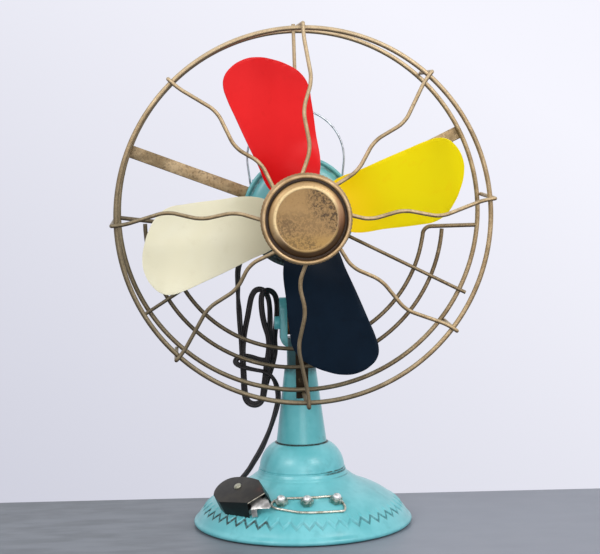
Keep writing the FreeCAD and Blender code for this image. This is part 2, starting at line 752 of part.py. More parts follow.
def front_spoke(angle_deg):
    """Waved wire from the badge over the front ring and back to the rear ring."""
    along = radial(angle_deg)
    clockwise = Vector(math.sin(math.radians(angle_deg)), 0, -math.cos(math.radians(angle_deg)))
    back = Vector(0, 1, 0)
    hub_forward = badge_back_forward - spoke_wire_radius
    rim_forward = front_ring_forward + guard_wire_radius + spoke_wire_radius
    inner = badge_back_radius - 5.0
    outside = guard_radius + guard_wire_radius + spoke_wire_radius
    turn_radius = guard_radius - 4.0

    def spot(radius, bow):
        share = min(1.0, (radius - inner) / (turn_radius - inner))
        forward = hub_forward + (rim_forward - hub_forward) * share
        return Vector(0, -forward, axis_height) + along * radius + clockwise * bow

    points = [spot(inner, 0)] + [spot(r, bow) for r, bow in spoke_waves]
    points.append(spot(turn_radius, 0))
    points.append(Vector(0, -rim_forward, axis_height) + along * outside)
    rear_end = rear_ring_forward - guard_wire_radius
    points.append(points[-1] + back * (rim_forward - rear_end))
    radii = [spoke_bend_radius] * len(spoke_waves) + [spoke_bend_radius, spoke_hook_radius]
    return wire_rod(points, radii, spoke_wire_radius)


def badge_cup():
    """Spun dish with a rolled front bead and a flat back flange."""
    back = badge_back_forward
    front = back + badge_depth
    wall = badge_radius - 2 * badge_bead_radius
    dish = turned_forward([
        (badge_plug_radius, back), (badge_back_radius, back), (badge_back_radius, back + sheet),
        (wall + 0.9, back + sheet + 0.4), (wall + 0.9, front - badge_bead_radius), (wall, front - badge_bead_radius),
        (wall, back + badge_floor), (badge_plug_radius, back + badge_floor)])
    bead = ring(badge_radius - badge_bead_radius, front - badge_bead_radius, badge_bead_radius)
    return dish.fuse(bead).removeSplitter()


def badge_cap():
    """Pressed cap that fills the dish, held by a plug at its back."""
    floor = badge_back_forward + badge_floor
    top = floor + cap_height
    edges = [Part.LineSegment(on_axis(0, floor), on_axis(cap_radius, floor)).toShape(),
             bezier([on_axis(cap_radius, floor), on_axis(cap_radius, top - cap_shoulder * 0.6),
                     on_axis(cap_face_radius + cap_shoulder, top), on_axis(cap_face_radius, top)]).toShape(),
             Part.LineSegment(on_axis(cap_face_radius, top), on_axis(0, top)).toShape(),
             Part.LineSegment(on_axis(0, top), on_axis(0, floor)).toShape()]
    face = Part.Face(Part.Wire(Part.__sortEdges__(edges)))
    cap = face.revolve(Vector(0, 0, axis_height), Vector(0, 1, 0), 360)
    plug = bar(on_axis(0, floor), Vector(0, 1, 0), badge_plug_radius, badge_floor)
    return cap.fuse(plug).removeSplitter()


def guard_pieces():
    keep("rear_ring", ring(guard_radius, rear_ring_forward, guard_wire_radius))
    keep("front_ring", ring(guard_radius, front_ring_forward, guard_wire_radius))
    for name, angle in strip_angles.items():
        end = guard_radius + (guard_wire_radius + strip_tail if name == "bottom" else 0.0)
        keep("guard_strip_" + name, rear_strip(angle, end))
    for name, angle in rear_wire_angles.items():
        keep("rear_wire_" + name, rear_wire(angle))
    keep("inner_arc", inner_arc())
    keep("outer_arc", outer_arc())
    for k, angle in enumerate(spoke_angles):
        keep("front_spoke_%d" % (k + 1), front_spoke(angle))
    keep("badge_cup", badge_cup())
    keep("badge_cap", badge_cap())


# ---- bail ----
def bail_handle():
    """Wire loop whose ends turn inwards through the two ears."""
    pivot_z = axis_height + bail_pivot_above_axis
    centre = Vector(0, bail_back, axis_height + bail_loop_above_axis)
    inner_x = bail_pivot_side - bail_end_length
    corner = Vector(bail_pivot_side, bail_back, pivot_z)
    to_corner = corner - centre
    spread = math.acos(min(1.0, bail_loop_radius / to_corner.Length)) if to_corner.Length > bail_loop_radius else 0
    turn = math.atan2(to_corner.z, to_corner.x) + spread
    touch = centre + Vector(math.cos(turn), 0, math.sin(turn)) * bail_loop_radius
    mirror = FreeCAD.Matrix(-1, 0, 0, 0, 0, 1, 0, 0, 0, 0, 1, 0, 0, 0, 0, 1)
    half = bent_path([Vector(inner_x, bail_back, pivot_z), corner, touch], [bail_corner_radius])
    other = half.transformGeometry(mirror)
    loop = Part.Arc(touch, centre + Vector(0, 0, bail_loop_radius), Vector(-touch.x, touch.y, touch.z)).toShape()
    path = Part.Wire(Part.__sortEdges__(half.Edges + [loop] + other.Edges))
    return sweep_round(path, Vector(inner_x, bail_back, pivot_z), Vector(1, 0, 0), bail_wire_radius)


# ---- rotor ----
def bush(flange_forward, outward):
    """Flanged bush pushed through a wall; outward is +1 for the front wall and -1 for the rear wall."""
    wall = Vector(0, -flange_forward, axis_height)
    out = Vector(0, -outward, 0)
    body = bar(wall - out * (sheet + bush_inner_length), out, bush_radius, sheet + bush_inner_length)
    body = body.fuse(bar(wall, out, bush_flange_radius, bush_flange_thickness))
    body = body.fuse(bar(wall, out, bush_radius, bush_flange_thickness + bush_nose))
    bore = bar(wall - out * 40, out, spindle_radius + running_fit, 80)
    return body.cut(bore).removeSplitter()


def blade_outline():
    """Flat paddle in (radius, sideways) from its root to its rounded tip."""
    tip = blade_tip_radius
    return [(blade_root_radius, blade_root_half_width), (26.0, 17.0), (44.0, 19.8), (62.0, 22.8), (80.0, 25.4),
            (tip - 22.5, 27.4), (tip - 14.5, 27.4), (tip - 8.5, 25.4), (tip - 3.5, 20.0), (tip, 8.5),
            (tip - 1.2, -1.5), (tip - 5.5, -11.0), (tip - 12.5, -20.8), (tip - 20.5, -27.6), (tip - 29.5, -30.3),
            (tip - 39.5, -29.4), (56.0, -26.2), (26.0, -20.2), (blade_root_radius, -blade_root_half_width)]


def blade_twist(radius):
    """Pitch grows from flat at the rivets to full pitch further out."""
    start = hub_plate_radius
    share = max(0.0, min(1.0, (radius - start) / (blade_tip_radius * 0.45 - start)))
    smooth = share * share * (3 - 2 * share)
    return math.radians(blade_pitch_deg) * smooth


def half_width_at(radius, side):
    """Edge of the paddle at a radius: the top or the bottom branch of its outline."""
    outline = blade_outline()
    tip_index = max(range(len(outline)), key=lambda k: outline[k][0])
    branch = outline[:tip_index + 1] if side > 0 else outline[tip_index:][::-1]
    for (r0, w0), (r1, w1) in zip(branch, branch[1:]):
        if r0 <= radius <= r1:
            return w0 + (w1 - w0) * (radius - r0) / (r1 - r0)
    return branch[-1][1]


def blade(angle_deg):
    """Twisted sheet paddle: a ruled skin over cross lines, thickened, then trimmed to the outline."""
    wide = 36.0
    stations = [blade_root_radius - 1, hub_plate_radius, 31.0, 38.0, 46.0, 54.0, 70.0, 95.0, blade_tip_radius + 2]
    front, back = [], []
    base = blade_plane_forward + hub_plate_thickness / 2
    sections = []
    for radius in stations:
        twist = blade_twist(radius)
        lift = math.tan(twist)
        corners = []
        for side, layer in ((-1, 0), (1, 0), (1, 1), (-1, 1)):
            forward = base + layer * blade_sheet / math.cos(twist) + side * wide * lift
            corners.append(Vector(radius, -forward, side * wide))
        sections.append(Part.makePolygon(corners + corners[:1]))
    slab = Part.makeLoft(sections, True, True)
    outline = [Vector(r, -guard_radius, w) for r, w in blade_outline()]
    left = Part.BSplineCurve()
    left.interpolate(outline)
    cutter_wire = Part.Wire([left.toShape(), Part.LineSegment(outline[-1], outline[0]).toShape()])
    cutter = Part.Face(cutter_wire).extrude(Vector(0, 2 * guard_radius, 0))
    body = slab.common(cutter)
    for place in blade_rivet_places:
        body = body.cut(bar(Vector(place, -guard_radius, 0), Vector(0, 1, 0), blade_rivet_radius + running_fit,
                            2 * guard_radius))
    body.Placement = FreeCAD.Placement(Vector(0, 0, axis_height), FreeCAD.Rotation(Vector(0, -1, 0), angle_deg))
    return solids_of(body)


def blade_angles():
    return [blade_first_angle + 90 * k for k in range(4)]


def blade_hub():
    front = blade_plane_forward + hub_plate_thickness / 2
    back = blade_plane_forward - hub_plate_thickness / 2
    boss_back = blade_plane_forward - hub_length / 2
    boss_front = blade_plane_forward + hub_length / 2
    bore = spindle_radius
    hub = turned_forward([(bore, boss_back), (hub_radius, boss_back), (hub_radius, back), (hub_plate_radius, back),
                          (hub_plate_radius, front), (hub_radius, front), (hub_radius, boss_front),
                          (bore, boss_front)])
    for angle in blade_angles():
        for place in blade_rivet_places:
            spot = on_axis(place, back - 1, angle)
            hub = hub.cut(bar(spot, Vector(0, -1, 0), blade_rivet_radius + running_fit, hub_plate_thickness + 2))
    return hub


def rotor_pieces():
    front_wall = flange_front + front_dome_rise
    rear_wall = -(drum_back + cap_depth)
    keep("front_bush", bush(front_wall, 1))
    keep("rear_bush", bush(rear_wall, -1))
    boss_front = blade_plane_forward + hub_length / 2
    rear_end = rear_wall - bush_flange_thickness
    nose = boss_front + spindle_nose
    keep("spindle", bar(on_axis(0, rear_end), Vector(0, -1, 0), spindle_radius, nose - rear_end))
    front_inner = front_wall - sheet - bush_inner_length
    rear_inner = rear_wall + sheet + bush_inner_length
    forward = Vector(0, -1, 0)
    collars = [tube(on_axis(0, start), forward, collar_radius, spindle_radius, collar_length)
               for start in (front_inner - moving_gap - collar_length, rear_inner + moving_gap)]
    keep("spindle_collars", Part.makeCompound(collars))
    keep("blade_hub", blade_hub())
    for name, angle in zip(("yellow_blade", "red_blade", "cream_blade", "navy_blade"), blade_angles()):
        keep(name, blade(angle))
    back = blade_plane_forward - hub_plate_thickness / 2
    rivets = []
    for angle in blade_angles():
        for place in blade_rivet_places:
            rivets.append(through_rivet(on_axis(place, back, angle), forward, blade_rivet_radius,
                                        hub_plate_thickness + blade_sheet, blade_rivet_head_radius,
                                        blade_rivet_head_height))
    keep("blade_rivets", Part.makeCompound(rivets))
    nut = hexagon(on_axis(0, boss_front), forward, acorn_across, acorn_height * 0.55)
    crown = round_head(on_axis(0, boss_front + acorn_height * 0.55), forward, acorn_across / 2, acorn_height * 0.45)
    thread = bar(on_axis(0, boss_front), forward, spindle_radius, spindle_nose)
    keep("acorn_nut", nut.fuse(crown).cut(thread).removeSplitter())


# ---- switch on the skirt ----
switch_out = Vector(math.cos(math.radians(switch_angle_deg)), math.sin(math.radians(switch_angle_deg)), 0)
tilt = math.radians(switch_slope_deg)
switch_normal = switch_out * math.sin(tilt) + Vector(0, 0, math.cos(tilt))
switch_up = switch_out * -math.cos(tilt) + Vector(0, 0, math.sin(tilt))
switch_side = switch_up.cross(switch_normal)
switch_foot = switch_out * switch_radius + Vector(0, 0, skirt_spot(switch_radius)[0])
pivot_side, pivot_up = -2.2, 9.4
mouth_top = (21.5, 11.7)
mouth_bottom = (17.0, -6.6)
cover_back = (12.4, 18.2)


def switch_point(side, up, lift):
    """Point in the switch's own tilted frame."""
    return switch_foot + switch_side * side + switch_up * up + switch_normal * lift


def cover_outline(inset, lift):
    """D-shaped plan of the cover, drawn a wall's thickness further in where asked."""
    def p(side, up):
        return switch_point(side, up, lift)
    back_left = (-21.9 + inset, 6.0)
    return [Part.Arc(p(-17.0 + inset, -5.0 + inset), p(*back_left), p(-12.0 + inset * 0.6, 17.8 - inset)).toShape(),
            Part.Arc(p(-12.0 + inset * 0.6, 17.8 - inset), p(0.0, 20.6 - inset),
                     p(cover_back[0] - inset * 0.4, cover_back[1] - inset)).toShape(),
            Part.LineSegment(p(cover_back[0] - inset * 0.4, cover_back[1] - inset),
                             p(mouth_top[0], mouth_top[1] - inset)).toShape(),
            Part.LineSegment(p(mouth_top[0], mouth_top[1] - inset),
                             p(mouth_bottom[0], mouth_bottom[1] + inset)).toShape(),
            Part.LineSegment(p(mouth_bottom[0], mouth_bottom[1] + inset), p(-7.0, -9.2 + inset)).toShape(),
            Part.LineSegment(p(-7.0, -9.2 + inset), p(-17.0 + inset, -5.0 + inset)).toShape()]


def prism(outline, height):
    face = Part.Face(Part.Wire(Part.__sortEdges__(outline)))
    return face.extrude(switch_normal * height)


def skirt_core():
    """Everything under the skirt's outer surface."""
    edges = [skirt_upper.toShape(), skirt_lower.toShape()]
    edges += polygon_edges([Vector(rim_radius, 0, rim_top), Vector(rim_radius, 0, -20), Vector(0, 0, -20),
                            Vector(0, 0, skirt_top_height), Vector(skirt_top_radius, 0, skirt_top_height)],
                           closed=False)
    return revolve_profile(edges)


def lead_end():
    """Where the lead meets the outside of the cover."""
    return switch_point(entry_side, entry_up, entry_lift)


def switch_pieces():
    deep = 14.0
    core = skirt_core()
    shell = prism(cover_outline(0, -deep), deep + switch_height)
    hollow = prism(cover_outline(switch_wall, -deep), deep + switch_height - switch_wall)
    mouth_mid = ((mouth_top[0] + mouth_bottom[0]) / 2, (mouth_top[1] + mouth_bottom[1]) / 2)
    along = Vector(mouth_top[0] - mouth_bottom[0], mouth_top[1] - mouth_bottom[1], 0)
    half_mouth = along.Length / 2 - switch_wall * 1.4
    along_dir = (switch_side * along.x + switch_up * along.y).normalize()
    out_dir = along_dir.cross(switch_normal)
    mouth = Part.makeBox(6, 2 * half_mouth, deep + switch_height - switch_wall)
    mouth.Placement = frame_at(switch_point(mouth_mid[0], mouth_mid[1], -deep) - along_dir * half_mouth
                               - out_dir * 4, out_dir, switch_normal)
    pin_hole = bar(switch_point(pivot_side, pivot_up, -deep), switch_normal, pivot_pin_radius + running_fit, 40)
    cord_hole = bar(lead_end() + switch_up * 4, switch_up * -1, cord_width / 2 + running_fit, 8)
    cover = shell.cut(hollow).cut(mouth).cut(core).cut(pin_hole).cut(cord_hole)
    keep("switch_cover", max(cover.Solids, key=lambda s: s.Volume))
    plate = prism(cover_outline(switch_wall + moving_gap, -deep), deep + switch_plate_height)
    plate_trim = Part.makeBox(8, 60, 60)
    plate_trim.Placement = frame_at(switch_point(mouth_mid[0], mouth_mid[1], -deep - 10) - along_dir * 30
                                    - out_dir * 1.5, out_dir, switch_normal)
    plate = plate.cut(core).cut(plate_trim)
    plate = plate.cut(bar(switch_point(pivot_side, pivot_up, -deep), switch_normal, pivot_pin_radius, 40))
    keep("switch_plate", max(plate.Solids, key=lambda s: s.Volume))
    plate_top = switch_point(pivot_side, pivot_up, switch_plate_height)
    pin_grip = switch_height - switch_plate_height
    pin = bar(plate_top - switch_normal * 2.5, switch_normal, pivot_pin_radius, pin_grip + 2.5)
    head = round_head(switch_point(pivot_side, pivot_up, switch_height), switch_normal, pivot_head_radius,
                      pivot_head_height)
    shoulder_length = lever_lift - running_fit
    pin = pin.fuse(bar(plate_top, switch_normal, pivot_head_radius, shoulder_length))
    keep("switch_pivot", pin.fuse(head).removeSplitter())
    keep("switch_lever", switch_lever(plate_top + switch_normal * lever_lift))


def switch_lever(pivot):
    """Sheet arm from the pivot out through the cover's mouth, with its end folded down."""
    aim = switch_point(20.2, 2.6, 0) - switch_point(pivot_side, pivot_up, 0)
    along_dir = Vector(aim).normalize()
    wide_dir = switch_normal.cross(along_dir)
    arm = Part.makeBox(lever_reach, lever_width, lever_sheet, Vector(0, -lever_width / 2, 0))
    arm = arm.fuse(Part.makeCylinder(lever_hub_radius, lever_sheet))
    head = Part.makeBox(lever_reach - lever_neck_reach, lever_head_width, lever_sheet,
                        Vector(lever_neck_reach, -lever_head_width / 2, 0))
    leg = Part.makeBox(lever_sheet, lever_leg_width, lever_leg,
                       Vector(lever_reach - lever_sheet, -lever_head_width / 2, -lever_leg))
    arm = arm.fuse(head).fuse(leg)
    arm = arm.cut(Part.makeCylinder(pivot_pin_radius + running_fit, lever_sheet * 4,
                                    Vector(0, 0, -lever_sheet)))
    arm.Placement = FreeCAD.Placement(FreeCAD.Matrix(
        along_dir.x, wide_dir.x, switch_normal.x, pivot.x,
        along_dir.y, wide_dir.y, switch_normal.y, pivot.y,
        along_dir.z, wide_dir.z, switch_normal.z, pivot.z,
        0, 0, 0, 1))
    return arm.removeSplitter()


def contact_pieces():
    nuts, screws = [], []
    for angle in stud_angles:
        spot, normal = on_skirt(stud_ring_radius, angle)
        seat = spot + normal * 0.25
        nuts.append(hexagon(seat, normal, stud_nut_across, stud_nut_height, stud_radius))
        under = spot - normal * (sheet + 0.35)
        shank = bar(under, normal, stud_radius, sheet + 0.6 + stud_nut_height + stud_end - 0.8)
        tip = round_head(under + normal * (sheet + 0.6 + stud_nut_height + stud_end - 0.8), normal, stud_radius, 0.8)
        head = bar(under - normal * stud_head_height, normal, stud_head_radius, stud_head_height)
        screws.append(shank.fuse(tip).fuse(head).removeSplitter())
    keep("contact_nuts", Part.makeCompound(nuts))
    keep("contact_screws", Part.makeCompound(screws))
    keep("contact_rail", contact_rail())


def contact_rail():
    """Wire loop round the contacts whose two ends go down through the skirt."""
    first, first_normal = on_skirt(rail_legs[0][0], rail_legs[0][1], rail_lift)
    last, last_normal = on_skirt(rail_legs[1][0], rail_legs[1][1], rail_lift)
    points = [first - first_normal * (rail_lift + rail_leg_depth), first]
    points += [on_skirt(radius, angle, rail_lift)[0] for radius, angle in rail_spots]
    points += [last, last - last_normal * (rail_lift + rail_leg_depth)]
    radii = []
    for k in range(1, len(points) - 1):
        before = (points[k] - points[k - 1]).Length
        after = (points[k + 1] - points[k]).Length
        turn = (points[k] - points[k - 1]).getAngle(points[k + 1] - points[k])
        radii.append(min(0.45 * min(before, after) / math.tan(turn / 2), rail_corner_radius * 3))
    radii[0] = radii[-1] = rail_wire_radius * 2
    return wire_rod(points, radii, rail_wire_radius)


# ---- lead: tube along straight runs and tangent arcs, and the tied hank as one closed solid ----
def cord_tube(points, node):
    """Round tube through the points; every arc as large as its two runs allow."""
    radii = []
    for k in range(1, len(points) - 1):
        before = (points[k] - points[k - 1]).Length
        after = (points[k + 1] - points[k]).Length
        turn = (points[k] - points[k - 1]).getAngle(points[k + 1] - points[k])
        radii.append(0.45 * min(before, after) / math.tan(turn / 2))
    path = bent_path(points, radii)
    shape = wire_rod(points, radii, cord_width / 2)
    expected = path.Length * math.pi * (cord_width / 2) ** 2
    print(node, "arc radii", [round(r, 1) for r in radii], "length %.1f" % path.Length,
          "volume %.1f of %.1f" % (shape.Volume, expected))
    return shape


def cord_pieces():
    out = radial(grommet_angle_deg)
    wall = Vector(0, grommet_back, axis_height) + out * drum_radius
    drum_core = bar(Vector(0, -flange_front, axis_height), Vector(0, 1, 0), drum_radius, 2 * guard_radius)
    collar = bar(wall - out * 1.0, out, grommet_radius, grommet_length * 0.3 + 1.0).cut(drum_core)
    nose = Part.makeCone(grommet_radius - 0.4, cord_width / 2 + 0.5, grommet_length * 0.7,
                         wall + out * (grommet_length * 0.3), out)
    sleeve = bar(wall - out * (sheet + 1.5), out, grommet_radius - 1.2, sheet + 2.5)
    bore = bar(wall - out * 10, out, cord_width / 2, 40)
    keep("head_cord_grommet", collar.fuse(nose).fuse(sleeve).cut(bore).removeSplitter())
    start = wall + out * (grommet_length - 0.5)
    pivot_level = Vector(lead_pivot[0], lead_pivot[1], bolt_height)
    upper = [start, start + out * 9.0, Vector(-43.9, 12.5, bolt_height + 40.5),
             Vector(-44.6, 10.0, bolt_height + 28.0), Vector(-45.0, 6.0, bolt_height + 14.0), pivot_level]
    strand = cord_tube(upper, "cord_upper")
    keep("cord_upper", strand.fuse(Part.makeSphere(cord_width / 2, pivot_level)).removeSplitter())
    hank = cord_hank()
    keep("cord_hank", hank)
    end = lead_end()
    lower = [Vector(-23.2, 1.5, bolt_height - 29.0), Vector(-18.6, -3.0, bolt_height - 43.5),
             Vector(-16.9, -7.0, bolt_height - 53.5), Vector(-18.8, -11.0, bolt_height - 64.0),
             Vector(-23.0, -15.0, bolt_height - 74.0), Vector(-27.6, -18.0, bolt_height - 83.5),
             Vector(-32.4, -20.2, bolt_height - 91.5), Vector(-37.5, -21.5, bolt_height - 98.5),
             end + switch_up * 6.0, end - switch_up * 3.0]
    keep("cord_lower", cord_tube(lower, "cord_lower").cut(hank))


def cord_hank():
    """Outer shape of the tied loops."""
    under_pivot = bolt_height - cord_width / 2 - moving_gap
    outline = [(-46.8, under_pivot), (-42.0, under_pivot), (-40.0, bolt_height + 4.0),
               (-36.5, bolt_height + 12.0), (-30.0, bolt_height + 25.0), (-24.0, bolt_height + 26.5),
               (-19.2, bolt_height + 23.0), (-19.2, bolt_height - 17.0), (-18.6, bolt_height - 26.5),
               (-25.0, bolt_height - 34.0), (-25.5, bolt_height - 47.0), (-29.0, bolt_height - 62.0),
               (-34.0, bolt_height - 64.8), (-40.0, bolt_height - 60.0), (-44.1, bolt_height - 47.0),
               (-46.0, bolt_height - 28.0)]
    points = [Vector(x, hank_front, z) for x, z in outline]
    face = Part.Face(Part.makePolygon(points + points[:1]))
    return face.extrude(Vector(0, hank_back - hank_front, 0))


stand_pieces()
tilt_bolt_pieces()
housing_pieces()
guard_pieces()
keep("bail_handle", bail_handle())
rotor_pieces()
switch_pieces()
contact_pieces()
cord_pieces()

os.makedirs("parts", exist_ok=True)
for node, shape in made.items():
    shape.exportStep("parts/%s.step" % node)
print(len(made), "nodes")
for node, shape in made.items():
    if not shape.isValid() or len(shape.Solids) == 0 or shape.Volume <= 0:
        print("CHECK", node, "valid", shape.isValid(), "solids", len(shape.Solids), "volume %.2f" % shape.Volume)
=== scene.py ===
import math

import bmesh
import bpy
from mathutils import Matrix, Vector
from mathutils.geometry import interpolate_bezier


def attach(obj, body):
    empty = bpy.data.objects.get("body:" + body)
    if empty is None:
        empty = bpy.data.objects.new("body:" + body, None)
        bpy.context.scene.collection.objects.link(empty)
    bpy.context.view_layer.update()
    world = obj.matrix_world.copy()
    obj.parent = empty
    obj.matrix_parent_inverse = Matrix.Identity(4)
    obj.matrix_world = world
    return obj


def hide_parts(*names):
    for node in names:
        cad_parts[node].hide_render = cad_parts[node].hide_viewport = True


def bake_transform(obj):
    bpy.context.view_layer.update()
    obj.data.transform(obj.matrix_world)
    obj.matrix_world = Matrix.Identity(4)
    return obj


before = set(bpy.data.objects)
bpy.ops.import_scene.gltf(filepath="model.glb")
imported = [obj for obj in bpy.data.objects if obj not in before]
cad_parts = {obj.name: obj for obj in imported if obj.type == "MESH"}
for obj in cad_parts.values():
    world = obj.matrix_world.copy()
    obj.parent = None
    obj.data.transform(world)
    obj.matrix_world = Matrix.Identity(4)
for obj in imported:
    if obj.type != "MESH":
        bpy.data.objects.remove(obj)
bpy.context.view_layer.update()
scene = bpy.context.scene
scene.view_settings.view_transform = "Standard"


# ---- Camera, table top and light ----
# The fan stands near the back edge of a pale grey table top, before a plain pale wall. Two soft boxes stand
# left and right in front of it, a wide weak one low down, and the room gives the rest of the light.
def node_in(tree, kind, **settings):
    """A new node with the given settings."""
    made = tree.nodes.new(kind)
    for key, value in settings.items():
        setattr(made, key, value)
    return made


def written(red, green, blue):
    """Colour as a paint card gives it (0 to 255), turned into the light values that the shaders mix."""
    share = [v / 255 for v in (red, green, blue)]
    return tuple(v / 12.92 if v <= 0.04045 else ((v + 0.055) / 1.055) ** 2.4 for v in share) + (1.0,)


view_turn, view_rise, view_roll = (math.radians(a) for a in (-3.55, 5.66, -1.06))
view_target = Vector((0.00109, -0.00007, 0.18116))
view_distance = 1.31567
to_eye = Vector((math.sin(view_turn) * math.cos(view_rise), -math.cos(view_turn) * math.cos(view_rise),
                 math.sin(view_rise)))
level = Vector((math.cos(view_turn), math.sin(view_turn), 0))
upright = to_eye.cross(level)
across = level * math.cos(view_roll) + upright * math.sin(view_roll)
rising = upright * math.cos(view_roll) - level * math.sin(view_roll)
camera = bpy.data.objects.new("camera", bpy.data.cameras.new("camera"))
scene.collection.objects.link(camera)
camera.data.lens, camera.data.sensor_width = 108.33, 36.0
camera.matrix_world = Matrix.Translation(view_target + to_eye * view_distance) @ \
    Matrix((across, rising, to_eye)).transposed().to_4x4()
scene.camera = camera

room = bpy.data.worlds.new("room")
room.use_nodes = True
scene.world = room
rays = node_in(room.node_tree, "ShaderNodeLightPath")
seen = node_in(room.node_tree, "ShaderNodeMath", operation="MAXIMUM")
seen_too = node_in(room.node_tree, "ShaderNodeMath", operation="MAXIMUM")
wall = node_in(room.node_tree, "ShaderNodeBackground")
join = room.node_tree.links.new
sight = node_in(room.node_tree, "ShaderNodeSeparateXYZ")
join(node_in(room.node_tree, "ShaderNodeTexCoord").outputs["Generated"], sight.inputs[0])
lit_wall = node_in(room.node_tree, "ShaderNodeMapRange")
lit_wall.inputs["From Min"].default_value, lit_wall.inputs["From Max"].default_value = -0.30, 0.13
sideways = node_in(room.node_tree, "ShaderNodeMath", operation="MULTIPLY_ADD")
join(sight.outputs["X"], sideways.inputs[0])
sideways.inputs[1].default_value = 0.7
join(sight.outputs["Z"], sideways.inputs[2])
join(sideways.outputs[0], lit_wall.inputs["Value"])
wall_tone = node_in(room.node_tree, "ShaderNodeMix", data_type="RGBA")
wall_tone.inputs[6].default_value = written(207, 208, 221)
wall_tone.inputs[7].default_value = written(246, 246, 255)
join(lit_wall.outputs[0], wall_tone.inputs[0])
join(wall_tone.outputs[2], wall.inputs["Color"])
air = room.node_tree.nodes["Background"]
air.inputs["Color"].default_value = (0.96, 0.97, 1.0, 1.0)
air.inputs["Strength"].default_value = 0.57
either = node_in(room.node_tree, "ShaderNodeMixShader")
join(rays.outputs["Is Camera Ray"], seen.inputs[0])
join(rays.outputs["Is Glossy Ray"], seen.inputs[1])
join(seen.outputs[0], seen_too.inputs[0])
join(rays.outputs["Is Transmission Ray"], seen_too.inputs[1])
join(seen_too.outputs[0], either.inputs[0])
join(air.outputs[0], either.inputs[1])
join(wall.outputs[0], either.inputs[2])
join(either.outputs[0], room.node_tree.nodes["World Output"].inputs["Surface"])

for name, place, power, size in (("soft_box_left", (-0.95, -1.00, 1.00), 6.2, 0.50),
                                 ("soft_box_right", (0.85, -1.10, 1.10), 8.9, 0.55),
                                 ("soft_box_low", (0.15, -1.60, 0.22), 5.6, 0.80)):
    lamp = bpy.data.objects.new(name, bpy.data.lights.new(name, "AREA"))
    lamp.data.shape, lamp.data.size, lamp.data.energy = "SQUARE", size, power
    scene.collection.objects.link(lamp)
    aim = Vector((0, 0, 0.15)) - Vector(place)
    lamp.matrix_world = Matrix.Translation(Vector(place)) @ aim.to_track_quat("-Z", "Y").to_matrix().to_4x4()


class Finish:
    """A surface finish whose pattern lies on the piece's own coordinates, in metres."""

    def __init__(self, name, metal=0.0, coat=0.0, coat_rough=0.1, shine=0.5):
        self.material = bpy.data.materials.new(name)
        self.material.use_nodes = True
        self.tree = self.material.node_tree
        self.shader = self.tree.nodes["Principled BSDF"]
        self.shader.inputs["Metallic"].default_value = metal
        self.shader.inputs["Coat Weight"].default_value = coat
        self.shader.inputs["Coat Roughness"].default_value = coat_rough
        self.shader.inputs["Specular IOR Level"].default_value = shine
        self.here = node_in(self.tree, "ShaderNodeTexCoord").outputs["Object"]
        self.axes = node_in(self.tree, "ShaderNodeSeparateXYZ")
        self.join(self.here, self.axes.inputs[0])

    def join(self, source, socket):
        if hasattr(source, "links"):
            self.tree.links.new(source, socket)
        else:
            socket.default_value = source

    def at(self, axis):
        return self.axes.outputs[axis]

    def sum(self, kind, first, second=0.0):
        made = node_in(self.tree, "ShaderNodeMath", operation=kind)
        self.join(first, made.inputs[0])
        self.join(second, made.inputs[1])
        return made.outputs[0]

    def cloud(self, grain, detail=4.0, stretch=(1, 1, 1), shift=(0, 0, 0), lumps=0.55):
        """Noise with features of about that size in millimetres."""
        placed = node_in(self.tree, "ShaderNodeMapping")
        placed.inputs["Scale"].default_value = stretch
        placed.inputs["Location"].default_value = shift
        self.join(self.here, placed.inputs["Vector"])
        made = node_in(self.tree, "ShaderNodeTexNoise")
        made.inputs["Scale"].default_value = 1000.0 / grain
        made.inputs["Detail"].default_value = detail
        made.inputs["Roughness"].default_value = lumps
        self.join(placed.outputs[0], made.inputs["Vector"])
        return made.outputs["Fac"]

    def step(self, value, low, high):
        """0 under low, 1 over high and smooth between them; low over high turns it round."""
        made = node_in(self.tree, "ShaderNodeMapRange", interpolation_type="SMOOTHSTEP")
        self.join(value, made.inputs["Value"])
        flip = low > high
        made.inputs["From Min"].default_value = min(low, high)
        made.inputs["From Max"].default_value = max(low, high)
        made.inputs["To Min"].default_value = 1.0 if flip else 0.0
        made.inputs["To Max"].default_value = 0.0 if flip else 1.0
        return made.outputs[0]

    def band(self, value, middle, half, soft):
        """1 within half of the middle, falling to 0 over soft."""
        off = self.sum("ABSOLUTE", self.sum("SUBTRACT", value, middle))
        return self.step(off, half + soft, half)

    def both(self, first, second):
        return self.sum("MULTIPLY", first, second)

    def stain(self, share, under, over):
        """Over laid on under by that share."""
        made = node_in(self.tree, "ShaderNodeMix", data_type="RGBA")
        self.join(share, made.inputs[0])
        self.join(under, made.inputs[6])
        self.join(over, made.inputs[7])
        return made.outputs[2]

    def lay(self, colour, rough, relief=None, depth=0.05):
        """Joins colour, roughness and a relief of so many millimetres to the shader."""
        self.join(colour, self.shader.inputs["Base Color"])
        self.join(rough, self.shader.inputs["Roughness"])
        if relief is not None:
            bump = node_in(self.tree, "ShaderNodeBump")
            bump.inputs["Distance"].default_value = depth / 1000
            self.join(relief, bump.inputs["Height"])
            self.join(bump.outputs[0], self.shader.inputs["Normal"])
        return self.material

    def between(self, share, low, high):
        made = node_in(self.tree, "ShaderNodeMapRange")
        self.join(share, made.inputs["Value"])
        made.inputs["To Min"].default_value = low
        made.inputs["To Max"].default_value = high
        return made.outputs[0]


def put_down_tools():
    """Leaves edit mode with nothing selected."""
    if bpy.context.object and bpy.context.object.mode != "OBJECT":
        bpy.ops.object.mode_set(mode="OBJECT")
    bpy.ops.object.select_all(action="DESELECT")


